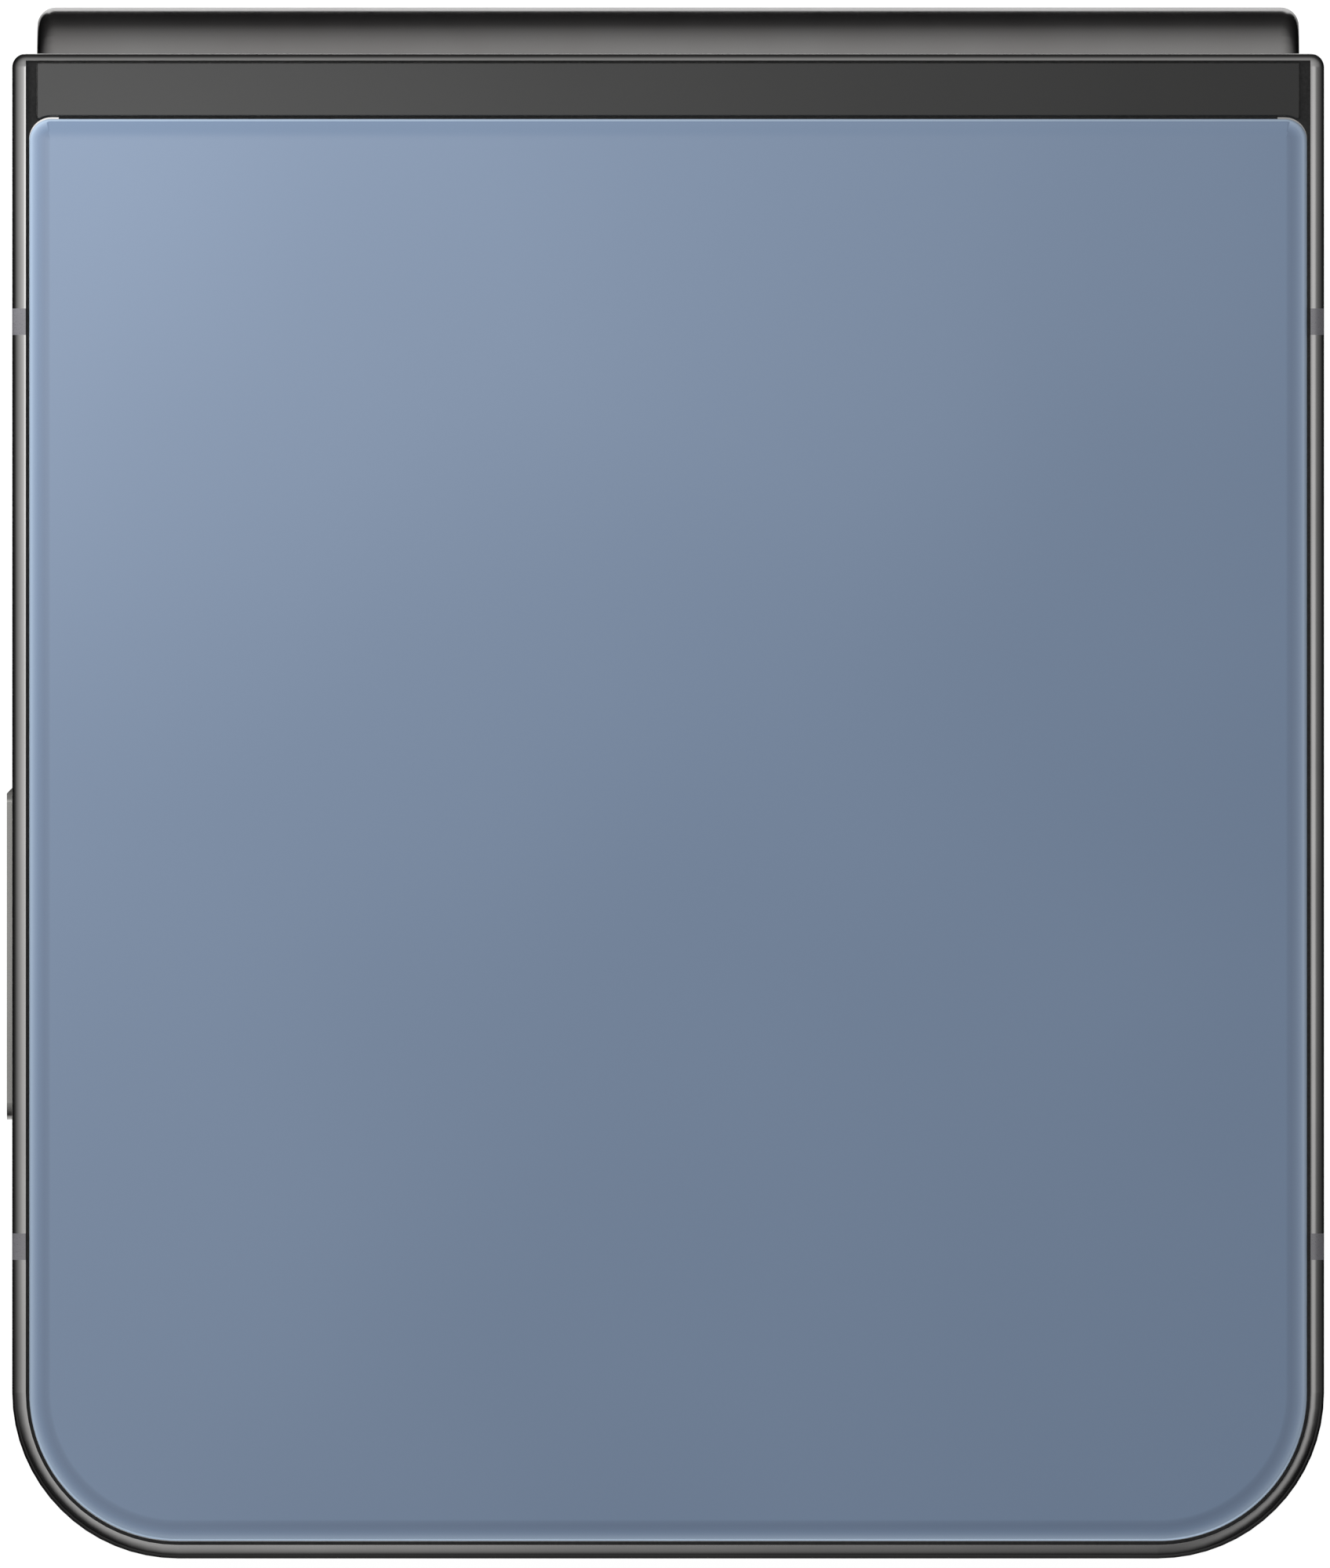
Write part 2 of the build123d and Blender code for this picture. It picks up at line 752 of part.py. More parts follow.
def key_switches():
    """Dome switches on the bay's wall: two under the volume key, one under the side key."""
    switches = []
    spots = [-volume_key_centre - switch_spread, -volume_key_centre + switch_spread,
             -side_key_centre]
    for y in spots:
        body = block(-bay_side_x, -bay_side_x + switch_thickness, y - switch_length / 2,
                     y + switch_length / 2, -rail_mid_z - switch_height / 2,
                     -rail_mid_z + switch_height / 2)
        switches.append(body)
    strip_y = (min(spots) - switch_length, max(spots) + switch_length)
    strip_x = -bay_side_x + switch_thickness
    strip = block(strip_x, strip_x + switch_flex_thickness, strip_y[0], strip_y[1],
                  -rail_mid_z - switch_height / 2, -rail_mid_z + switch_height / 2)
    for body in switches:
        strip += body
    return strip


def tray_face(grow):
    """The tray's end plate in the +x rail, or with grow the mouth for it."""
    outline = area(-tray_centre - tray_face_length / 2 - grow,
                   -tray_centre + tray_face_length / 2 + grow,
                   rail_mid_z - tray_face_height / 2 - grow,
                   rail_mid_z + tray_face_height / 2 + grow)
    outline = fillet(outline.vertices(), tray_face_height / 2 * 0.9)
    outer_x = half_width - tray_face_recess if grow == 0 else half_width + 1
    return prism_x(outline, half_width - tray_face_recess - tray_face_depth - grow, outer_x)


def tray_blade(grow):
    """The tray's flat carrier, or with grow the slot that it slides in."""
    outer_x = half_width - tray_face_recess - tray_face_depth
    return block(outer_x - tray_length - grow, outer_x + 0.1,
                 -tray_centre - tray_width / 2 - grow, -tray_centre + tray_width / 2 + grow,
                 rail_mid_z - tray_thickness / 2 - grow, rail_mid_z + tray_thickness / 2 + grow)


def sim_tray():
    tray = tray_face(0) + tray_blade(0)
    card_x = half_width - tray_face_recess - tray_face_depth - tray_length + card_margin
    card = block(card_x, card_x + card_length, -tray_centre - card_width / 2,
                 -tray_centre + card_width / 2, rail_mid_z - tray_thickness / 2 - 1,
                 rail_mid_z - tray_thickness / 2 + card_depth)
    hole = rod_x(half_width - eject_hole_depth, half_width + 1, -tray_centre + eject_hole_offset,
                 rail_mid_z, eject_hole_radius)
    return flip(tray - card - hole)


def sim_socket():
    """The metal cage on the main board that the tray slides into."""
    inner = tray_blade(socket_fit)
    grow = socket_fit + socket_wall
    cage = tray_blade(grow) & block(0, bay_side_x, far_y, 0, board_top_z, back_z)
    cage += block(bay_side_x - tray_length, bay_side_x, -tray_centre - tray_width / 2 - grow,
                  -tray_centre + tray_width / 2 + grow, board_top_z, rail_mid_z)
    cage -= inner
    return flip(cage & block(0, bay_side_x - part_gap, far_y, 0, board_top_z, back_z))


# ---------------------------------------------------------------- cameras
def camera_spots():
    return [(main_camera_x, camera_y), (wide_camera_x, camera_y)]


def cover_glass():
    panel = glass_panel()
    for x, y in camera_spots():
        panel -= rod_z(x, y, glass_z - 1, back_z + 1, ring_neck_radius + ring_hole_fit)
    panel -= rod_z(flash_x, camera_y, glass_z - 1, back_z + 1, flash_radius + flash_fit)
    return flip(panel)


def lens_rings():
    rings = []
    for x, y in camera_spots():
        ring = rod_z(x, y, back_z, lens_z, ring_radius)
        ring = fillet(ring.edges().group_by(Axis.Z)[-1], ring_edge_fillet)
        ring += rod_z(x, y, glass_z, back_z, ring_neck_radius)
        ring -= rod_z(x, y, glass_z - 1, lens_z + 1, ring_bore_radius)
        seat_z = lens_z - window_recess - window_thickness
        ring -= rod_z(x, y, seat_z, lens_z + 1, window_radius + window_fit)
        rings.append(flip(ring))
    return Compound(rings)


def lens_windows():
    top_z = lens_z - window_recess
    return Compound([flip(rod_z(x, y, top_z - window_thickness, top_z, window_radius))
                     for x, y in camera_spots()])


def barrel_top_z():
    return glass_z - part_gap - barrel_travel


def main_camera_housing():
    side = main_camera_side / 2
    x, y = main_camera_x, camera_y
    housing = block(x - side, x + side, y - side, y + side, bay_z + part_gap, glass_z - part_gap)
    bore_z = bay_z + part_gap + camera_floor
    housing -= rod_z(x, y, bore_z, back_z, barrel_radius + barrel_fit)
    return flip(housing)


def focus_barrel():
    x, y = main_camera_x, camera_y
    top = barrel_top_z()
    barrel = rod_z(x, y, top - barrel_length, top, barrel_radius)
    barrel -= rod_z(x, y, top - barrel_eye_depth, top + 1, barrel_eye_radius)
    return flip(barrel)


def wide_camera():
    side = wide_camera_side / 2
    x, y = wide_camera_x, camera_y
    shoulder = glass_z - camera_floor
    camera = block(x - side, x + side, y - side, y + side, bay_z + part_gap, shoulder)
    camera += rod_z(x, y, shoulder - 0.1, glass_z - part_gap, wide_lens_radius)
    camera -= rod_z(x, y, glass_z - part_gap - barrel_eye_depth, back_z, barrel_eye_radius)
    return flip(camera)


def flash_lens():
    return flip(rod_z(flash_x, camera_y, glass_z - flash_depth, back_z - trim_recess, flash_radius))


def front_camera_y():
    return far_y + front_camera_far_setback


def front_camera():
    """The inner camera, whose lens looks out through a hole in the upper screen."""
    side = front_camera_side / 2
    y = front_camera_y()
    camera = block(-side, side, y - side, y + side, bay_z, bay_z + front_camera_depth)
    camera += rod_z(0, y, inner_z + screen_bond, bay_z + 0.1, front_lens_radius)
    return flip(camera)


def front_lens_hole():
    return rod_z(0, front_camera_y(), 0, bay_z + 1, front_lens_radius + front_lens_fit)


# ---------------------------------------------------------------- batteries, boards, modules
def battery(end_y):
    side = bay_side_x - battery_side_gap
    cell = block(-side, side, end_y, battery_hinge_y, bay_z + part_gap,
                 bay_z + part_gap + battery_thickness)
    return fillet(cell.edges().filter_by(Axis.Z), battery_fillet)


def charging_coil():
    """A ferrite disc on the battery with the flat winding on it."""
    sheet_z = bay_z + 2 * part_gap + battery_thickness
    winding_z = sheet_z + coil_sheet_thickness
    top_z = winding_z + coil_winding_thickness
    coil = rod_z(0, coil_y, sheet_z, winding_z, coil_radius)
    winding = rod_z(0, coil_y, winding_z - part_gap, top_z, coil_radius - coil_rim)
    winding -= rod_z(0, coil_y, sheet_z - 1, top_z + 1, coil_inner_radius)
    return coil + winding


def corner_cuts(size):
    """Wedges that take the far corners off a board, so that it clears the bay's corners."""
    wedge = Polygon((board_side_x - size, board_far_y - 1), (board_side_x + 1, board_far_y - 1),
                    (board_side_x + 1, board_far_y + size + 1), align=None)
    return both_sides(plate(wedge, 0, back_z))


def lower_screw_spots():
    near = lower_battery_end - board_gap - screw_edge_gap
    left = -board_side_x + screw_edge_gap
    return [(left, near), (speaker_inner_x - screw_edge_gap, near),
            (left, near + motor_length / 2 - motor_end_gap)]


def bracket_screw_spots():
    x = (bracket_inner_x + bracket_outer_x) / 2
    y = bay_far_y + bracket_end_gap + bracket_length / 2
    return [(-x, y), (x, y)]


def upper_screw_spots():
    near = upper_battery_end - board_gap - screw_edge_gap / 2
    right = board_side_x - screw_edge_gap
    return [(0, near), (right, near), (-board_side_x / 2, near),
            (right, -tray_centre - tray_width / 2 - socket_wall - screw_edge_gap)]


def screws(spots, head_z):
    """Round screws that clamp what lies under head_z to the midplate."""
    pieces = []
    for x, y in spots:
        head = rod_z(x, y, head_z, head_z + screw_head_height, screw_head_radius)
        shank = rod_z(x, y, bay_z - screw_depth, head_z + screw_head_height / 2,
                      screw_shank_radius)
        pieces.append(head + shank)
    return pieces


def screw_holes(piece, spots):
    for x, y in spots:
        piece -= rod_z(x, y, bay_z - screw_depth, back_z, screw_shank_radius + seat_clearance)
    return piece


def port_outline(grow):
    width = port_width + 2 * grow
    height = port_height + 2 * grow
    return Plane.XZ * Pos(0, rail_mid_z) * SlotOverall(width, height)


def port_bar(grow, y0, y1):
    """A flat-sided round bar along y, the size of the charging port's mouth plus grow."""
    return extrude(Pos(0, y1, 0) * port_outline(grow), amount=y1 - y0)


def charge_board():
    board = block(-board_side_x, board_side_x, board_far_y, lower_battery_end - board_gap,
                  board_z, board_top_z)
    for wedge in corner_cuts(board_corner_cut):
        board -= wedge
    notch = port_width / 2 + port_shell + part_gap
    board -= block(-notch, notch, far_y, far_y + port_depth + part_gap * 4, 0, back_z)
    return screw_holes(board, lower_screw_spots() + bracket_screw_spots())


def usb_c_port():
    """The charging port's metal shell, with the tongue that the plug goes over."""
    mouth_y = far_y + part_gap
    back_y = far_y + port_depth
    shell = port_bar(port_shell, mouth_y, back_y) - port_bar(0, far_y - 1, back_y - port_back_wall)
    tongue = block(-port_tongue_width / 2, port_tongue_width / 2, mouth_y + port_tongue_setback,
                   back_y - port_back_wall / 2, rail_mid_z - port_tongue_thickness / 2,
                   rail_mid_z + port_tongue_thickness / 2)
    return shell + tongue


def connector_bracket():
    """The metal bridge that holds the charging port down, on two screwed legs."""
    y0 = bay_far_y + bracket_end_gap
    y1 = y0 + bracket_length
    top = rail_mid_z + port_height / 2 + port_shell + part_gap
    bridge = block(-bracket_outer_x, bracket_outer_x, y0, y1, top, top + bracket_thickness)
    leg_right = block(bracket_inner_x, bracket_outer_x, y0, y1, board_top_z, top)
    for leg in both_sides(leg_right):
        bridge += leg
    for x, y in bracket_screw_spots():
        bridge -= rod_z(x, y, bracket_seat_z(), back_z, screw_head_radius + seat_clearance)
    return screw_holes(bridge, bracket_screw_spots())


def bracket_seat_z():
    """Floor of the counterbores that the bracket's screw heads sink into."""
    top = rail_mid_z + port_height / 2 + port_shell + part_gap + bracket_thickness
    return top - screw_head_height


def loudspeaker():
    y0 = bay_far_y + speaker_end_gap
    box = block(speaker_inner_x, speaker_outer_x, y0, y0 + speaker_length,
                board_top_z + part_gap, board_top_z + part_gap + speaker_height)
    corner = box.edges().filter_by(Axis.Z).group_by(Axis.Y)[0].sort_by(Axis.X)[-1]
    return chamfer(corner, speaker_corner_cut)


def vibration_motor():
    y1 = lower_battery_end - board_gap - motor_end_gap
    box = block(motor_x - motor_width / 2, motor_x + motor_width / 2, y1 - motor_length, y1,
                board_top_z + part_gap, board_top_z + part_gap + motor_height)
    return fillet(box.edges().filter_by(Axis.Z), module_fillet)


def microphone():
    y0 = board_far_y + part_gap
    return block(mic_x - mic_width / 2, mic_x + mic_width / 2, y0, y0 + mic_length, board_top_z,
                 board_top_z + mic_height)


def main_board():
    """The upper half's board, with an arm beside the cameras."""
    near_y = upper_battery_end - board_gap
    left = -bay_side_x + key_bay_width
    board = block(left, board_side_x, wide_board_y, near_y, board_z, board_top_z)
    board += block(board_arm_x, board_side_x, board_far_y, wide_board_y, board_z, board_top_z)
    for wedge in corner_cuts(board_corner_cut):
        board -= wedge
    return flip(screw_holes(board, upper_screw_spots()))


def board_shield():
    near_y = upper_battery_end - board_gap - screw_edge_gap - shield_edge_gap
    far_edge = wide_board_y + shield_edge_gap
    left = -bay_side_x + key_bay_width + shield_edge_gap
    right = half_width - tray_face_recess - tray_face_depth - tray_length - shield_socket_gap
    top_z = board_top_z + shield_height
    can = block(left, right, far_edge, near_y, board_top_z, top_z)
    inner = block(left + socket_wall, right - socket_wall, far_edge + socket_wall,
                  near_y - socket_wall, board_top_z, top_z - socket_wall)
    return flip(can - inner)


def cover_display():
    """The panel behind the cover glass, cut back round the cameras."""
    side = bay_side_x - cover_screen_side_gap
    near_y = bay_hinge_y - cover_screen_end_gap / 2
    far_edge = bay_far_y + cover_screen_end_gap
    notch_y = camera_y + main_camera_side / 2 + cover_screen_end_gap
    z1 = glass_z - part_gap
    sheet = area(-side, side, far_edge, near_y)
    sheet = fillet(sheet.vertices(), corner_radius - rail_wall - cover_screen_end_gap)
    arm_x = flash_x + flash_radius + cover_screen_flash_gap
    sheet -= area(-half_width, arm_x, far_y, notch_y)
    return flip(plate(sheet, z1 - cover_screen_thickness, z1))


def earpiece_speaker():
    y0 = bay_far_y + board_gap
    box = block(earpiece_x - earpiece_width / 2, earpiece_x + earpiece_width / 2, y0,
                y0 + earpiece_length, board_top_z + part_gap,
                board_top_z + part_gap + earpiece_height)
    return flip(fillet(box.edges().filter_by(Axis.Z), module_fillet))


def earpiece_slot():
    y = far_y + bezel_inset + bezel_width / 2
    return block(-earpiece_slot_length / 2, earpiece_slot_length / 2, y - earpiece_slot_width / 2,
                 y + earpiece_slot_width / 2, 0, inner_z + part_gap)


# ---------------------------------------------------------------- the two frames
def lower_frame():
    frame = cut_bands(half_frame())
    frame -= port_bar(port_shell + port_fit, far_y - 1, far_y + port_depth + port_fit)
    for index in range(speaker_hole_count):
        x = speaker_x - speaker_hole_shift + (index - (speaker_hole_count - 1) / 2) * speaker_hole_pitch
        frame -= rod_y(x, far_y - 1, bay_far_y + 0.5, rail_mid_z, speaker_hole_radius)
    frame -= rod_y(mic_x, far_y - 1, bay_far_y + 0.5, rail_mid_z, mic_hole_radius)
    return screw_holes(frame, lower_screw_spots() + bracket_screw_spots())


def upper_frame():
    frame = cut_bands(half_frame())
    frame -= key_room(volume_key_centre, volume_key_length, volume_key_height)
    frame -= key_room(side_key_centre, side_key_length, side_key_height)
    frame -= tray_face(tray_fit)
    frame -= tray_blade(tray_fit)
    frame -= front_lens_hole()
    return flip(screw_holes(frame, upper_screw_spots()))


def upper_bezel():
    return flip(bezel() - earpiece_slot())


def upper_display():
    return flip(flat_screen() - front_lens_hole())


# ---------------------------------------------------------------- writing the parts
def phone_parts():
    """Every node's name and shape, in the model's own place."""
    block_right = hinge_block()
    return {
        "lower_frame": lower_frame(),
        "lower_antenna_bands": antenna_bands(),
        "back_glass": glass_panel(),
        "lower_hinge_trim": hinge_trim(),
        "lower_bezel": bezel(),
        "lower_bumpers": bumpers(),
        "lower_display": flat_screen(),
        "lower_battery": battery(lower_battery_end),
        "charging_coil": charging_coil(),
        "charge_board": charge_board(),
        "connector_bracket": connector_bracket(),
        "usb_c_port": usb_c_port(),
        "loudspeaker": loudspeaker(),
        "vibration_motor": vibration_motor(),
        "microphone": microphone(),
        "lower_screws": Compound(screws(lower_screw_spots(), board_top_z)
                                 + screws(bracket_screw_spots(), bracket_seat_z())),
        "lower_pivot_gears": pivot_gears(3),
        "dust_brush_lower": dust_brush(),
        "upper_frame": upper_frame(),
        "upper_antenna_bands": flip(antenna_bands()),
        "cover_glass": cover_glass(),
        "upper_hinge_trim": flip(hinge_trim()),
        "upper_bezel": upper_bezel(),
        "upper_bumpers": flip(bumpers()),
        "upper_display": upper_display(),
        "cover_display": cover_display(),
        "upper_battery": flip(battery(upper_battery_end)),
        "main_board": main_board(),
        "board_shield": board_shield(),
        "main_camera_housing": main_camera_housing(),
        "focus_barrel": focus_barrel(),
        "wide_camera": wide_camera(),
        "lens_rings": lens_rings(),
        "lens_windows": lens_windows(),
        "flash_lens": flash_lens(),
        "front_camera": front_camera(),
        "earpiece_speaker": earpiece_speaker(),
        "sim_tray": sim_tray(),
        "sim_socket": sim_socket(),
        "volume_key": volume_key(),
        "side_key": side_key(),
        "key_switches": key_switches(),
        "upper_screws": Compound([flip(s) for s in screws(upper_screw_spots(), board_top_z)]),
        "upper_pivot_gears": pivot_gears(0),
        "dust_brush_upper": flip(dust_brush()),
        "spine_cover": spine_cover(),
        "hinge_block_right": block_right,
        "hinge_block_left": mirror(block_right, about=Plane.YZ),
        "centre_plate": centre_plate(),
        "display_fold": display_fold(),
        "idler_axles": idler_axles(),
        "idler_gears_lower": idler_gears(2),
        "idler_gears_upper": idler_gears(1),
        "friction_washers": friction_washers(),
        "spine_screws": spine_screws(),
    }


def export_part():
    os.makedirs("parts", exist_ok=True)
    row_place = Location((0, row_edge_y, row_mid_z))
    for name, shape in phone_parts().items():
        placed = row_place * shape
        export_step(placed, f"parts/{name}.step")


export_part()
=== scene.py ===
import json
import math

import bmesh
import bpy
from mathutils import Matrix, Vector


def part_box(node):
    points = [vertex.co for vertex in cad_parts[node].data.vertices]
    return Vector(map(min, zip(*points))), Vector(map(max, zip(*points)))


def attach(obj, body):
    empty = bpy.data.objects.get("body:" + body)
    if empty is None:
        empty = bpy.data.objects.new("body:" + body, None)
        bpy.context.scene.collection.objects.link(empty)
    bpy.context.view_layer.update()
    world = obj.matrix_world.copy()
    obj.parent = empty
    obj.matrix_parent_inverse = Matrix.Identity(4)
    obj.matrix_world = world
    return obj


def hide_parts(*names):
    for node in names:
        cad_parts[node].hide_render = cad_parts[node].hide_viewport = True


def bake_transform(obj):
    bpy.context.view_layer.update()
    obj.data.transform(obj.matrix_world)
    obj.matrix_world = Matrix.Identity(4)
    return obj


# Folding phone, lying closed on its camera rings with the lower half's back glass up.
# Lengths are in millimetres and turned to metres by MM, save those of the stage, in metres.
MM = 0.001

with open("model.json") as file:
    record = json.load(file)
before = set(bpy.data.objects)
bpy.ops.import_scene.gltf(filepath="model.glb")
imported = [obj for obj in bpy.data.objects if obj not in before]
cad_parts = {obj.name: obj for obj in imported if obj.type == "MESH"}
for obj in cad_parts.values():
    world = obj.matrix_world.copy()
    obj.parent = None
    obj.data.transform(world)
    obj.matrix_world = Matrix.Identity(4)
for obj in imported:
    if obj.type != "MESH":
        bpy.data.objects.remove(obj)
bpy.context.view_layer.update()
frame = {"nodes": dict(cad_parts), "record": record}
NODES = frame["nodes"]

HALF_WIDTH = 35.95        # of both halves' frames
HINGE_EDGE_Y = 39.95      # where they end beside the spine
FAR_EDGE_Y = -42.55
CORNER_RADIUS = 9.1       # of the frames' far corners
MID_Z = 8.55              # the plane between the two halves
GLASS_TOP_Z = 16.1
GLASS_HINGE_RADIUS = 1.2  # of the glass's two corners by the hinge strip
POCKET_INSET = 0.75       # from the frame's outline to the wall round the glass
LIP_WIDTH = 0.38          # of the metal lip between the spine and the hinge strip
STRIP_GAP = 0.085         # between the strip and the glass's solid
CAMERA_Y = -32.5
MAIN_CAMERA_X = -25.5
WIDE_CAMERA_X = -12.0
FLASH_X = -2.5
FRONT_CAMERA_Y = -35.95


# ------------------------------------------------------------------ modelling helpers
def only(piece):
    """Selects one object alone and makes it the active one."""
    if bpy.context.object and bpy.context.object.mode != "OBJECT":
        bpy.ops.object.mode_set(mode="OBJECT")
    bpy.ops.object.select_all(action="DESELECT")
    piece.select_set(True)
    bpy.context.view_layer.objects.active = piece


def slab(name, low, high):
    """A block between two corners, in metres, with its place in its mesh."""
    bpy.ops.object.select_all(action="DESELECT")
    low, high = Vector(low), Vector(high)
    bpy.ops.mesh.primitive_cube_add(size=1, location=(low + high) / 2, scale=high - low)
    piece = bpy.context.object
    piece.name = piece.data.name = name
    only(piece)
    bpy.ops.object.transform_apply(location=True, rotation=True, scale=True)
    return piece


def pick(piece, kind, wanted):
    """Goes into edit mode with just the wanted faces, edges or points selected."""
    if piece.mode != "EDIT":
        only(piece)
        bpy.ops.object.mode_set(mode="EDIT")
    bpy.ops.mesh.select_mode(type=kind)
    bpy.ops.mesh.select_all(action="DESELECT")
    mesh = bmesh.from_edit_mesh(piece.data)
    mesh.normal_update()
    for part in {"FACE": mesh.faces, "EDGE": mesh.edges, "VERT": mesh.verts}[kind]:
        if wanted(part):
            part.select_set(True)
    mesh.select_flush_mode()
    bmesh.update_edit_mesh(piece.data)


def upright_edge(edge, test):
    """True for an edge that runs along z at a place that passes the test."""
    a, b = edge.verts[0].co, edge.verts[1].co
    return abs(a.x - b.x) < 1e-6 and abs(a.y - b.y) < 1e-6 and test((a + b) / 2)


def round_corners(piece, radius, segments, test):
    """Rounds the upright edges that pass the test."""
    pick(piece, "EDGE", lambda e: upright_edge(e, test))
    bpy.ops.mesh.bevel(offset=radius * MM, segments=segments, affect="EDGES",
                       clamp_overlap=False)


def outline_slab(name, low, high, grown=0.0):
    """A plate with the outline of a half's glass: wide far corners and tight ones by the hinge.

    Its corners keep their centres when it is grown by some millimetres all round.
    """
    more = Vector((grown, grown, 0)) * MM
    plate = slab(name, Vector(low) - more, Vector(high) + more)
    far_radius = CORNER_RADIUS - (HALF_WIDTH - (high[0] - low[0]) / MM / 2) + grown
    round_corners(plate, far_radius, 32, lambda p: p.y < 0)
    round_corners(plate, GLASS_HINGE_RADIUS + grown, 12, lambda p: p.y > 0)
    bpy.ops.object.mode_set(mode="OBJECT")
    return plate


def carve(piece, tool):
    """Takes a tool's shape out of a piece, and the tool away."""
    only(piece)
    bpy.ops.object.modifier_add(type="BOOLEAN")
    knife = piece.modifiers[-1]
    knife.operation, knife.solver, knife.object = "DIFFERENCE", "EXACT", tool
    bpy.ops.object.modifier_apply(modifier=knife.name)
    bpy.data.objects.remove(tool)


def finish_mesh(piece, angle=35, weighted=True):
    """Smooth shading that keeps the flats flat and the hard edges hard."""
    only(piece)
    bpy.ops.object.shade_smooth_by_angle(angle=math.radians(angle))
    if weighted:
        bpy.ops.object.modifier_add(type="WEIGHTED_NORMAL")
        piece.modifiers[-1].keep_sharp = True
        bpy.ops.object.modifier_apply(modifier=piece.modifiers[-1].name)
    return piece


def turned(name, profile, centre, steps=72):
    """A ring or dome turned about an upright axis from a closed (radius, z) profile."""
    mesh = bpy.data.meshes.new(name)
    x, y = centre
    corners = [((x + radius) * MM, y * MM, z * MM) for radius, z in profile]
    mesh.from_pydata(corners, [(i, (i + 1) % len(corners)) for i in range(len(corners))], [])
    piece = bpy.data.objects.new(name, mesh)
    bpy.context.scene.collection.objects.link(piece)
    only(piece)
    bpy.ops.object.mode_set(mode="EDIT")
    bpy.ops.mesh.select_all(action="SELECT")
    bpy.ops.mesh.spin(steps=steps, angle=2 * math.pi, center=(x * MM, y * MM, 0), axis=(0, 0, 1))
    bpy.ops.mesh.select_all(action="SELECT")
    bpy.ops.mesh.remove_doubles(threshold=1e-6)
    bpy.ops.mesh.normals_make_consistent(inside=False)
    bpy.ops.object.mode_set(mode="OBJECT")
    return finish_mesh(piece, weighted=False)


# ------------------------------------------------------------------ material helpers
MIX_A, MIX_B, MIX_OUT = 6, 7, 2      # a Mix node's two colour inputs and its colour output


def hue(code):
    """An sRGB hex colour as the linear colour that a shader works in."""
    parts = [int(code[i:i + 2], 16) / 255 for i in (0, 2, 4)]
    return [p / 12.92 if p <= 0.04045 else ((p + 0.055) / 1.055) ** 2.4 for p in parts] + [1.0]


def add(tree, kind, links=None, values=None, **settings):
    """One node, with its settings, the numbers on its sockets and what feeds them."""
    node = tree.nodes.new(kind)
    for name, value in settings.items():
        setattr(node, name, value)
    for socket, value in (values or {}).items():
        node.inputs[socket].default_value = value
    for socket, source in (links or {}).items():
        tree.links.new(source, node.inputs[socket])
    return node


def blank(name, rough, metal=0.0, **sockets):
    """A material with its shader, and its object place measured in millimetres."""
    finish = bpy.data.materials.new(name)
    finish.use_nodes = True
    tree = finish.node_tree
    tree.nodes.clear()
    shader = add(tree, "ShaderNodeBsdfPrincipled", values={"Metallic": metal, "Roughness": rough})
    for socket, value in sockets.items():
        shader.inputs[socket.replace("_", " ")].default_value = value
    out = add(tree, "ShaderNodeOutputMaterial")
    tree.links.new(shader.outputs[0], out.inputs[0])
    place = add(tree, "ShaderNodeTexCoord").outputs["Object"]
    scaled = add(tree, "ShaderNodeVectorMath", {0: place}, operation="SCALE")
    scaled.inputs["Scale"].default_value = 1 / MM
    return finish, tree, shader, scaled.outputs[0]


def grain(tree, place, size, stretch=(1, 1, 1), detail=3.0):
    """Noise whose spots are size millimetres across, drawn out by stretch."""
    squeezed = add(tree, "ShaderNodeMapping", {"Vector": place},
                   {"Scale": [1 / s for s in stretch]})
    noise = add(tree, "ShaderNodeTexNoise", {"Vector": squeezed.outputs[0]},
                {"Scale": 1 / size, "Detail": detail})
    return noise.outputs["Fac"]


def ramp(tree, factor, stops):
    """A colour that runs through the stops, each a place from 0 to 1 and the colour there."""
    node = add(tree, "ShaderNodeValToRGB", {"Fac": factor})
    marks = node.color_ramp.elements
    for mark, (place, colour) in zip(marks, (stops[0], stops[-1])):
        mark.position, mark.color = place, colour
    for place, colour in stops[1:-1]:
        marks.new(place).color = colour
    return node.outputs["Color"]


def between(tree, factor, first, second, low=0.35, high=0.65):
    """A colour that runs from first to second as the factor goes from low to high."""
    return ramp(tree, factor, ((low, hue(first)), (high, hue(second))))


def spread(tree, factor, low, high, start=0.3, end=0.7):
    """A number that runs from low to high as the factor goes from start to end."""
    return add(tree, "ShaderNodeMapRange", {"Value": factor},
               {"From Min": start, "From Max": end, "To Min": low, "To Max": high}).outputs[0]


def relief(tree, shader, height, depth):
    """A bump of that depth, in millimetres."""
    bump = add(tree, "ShaderNodeBump", {"Height": height},
               {"Strength": 1.0, "Distance": depth * MM})
    tree.links.new(bump.outputs[0], shader.inputs["Normal"])


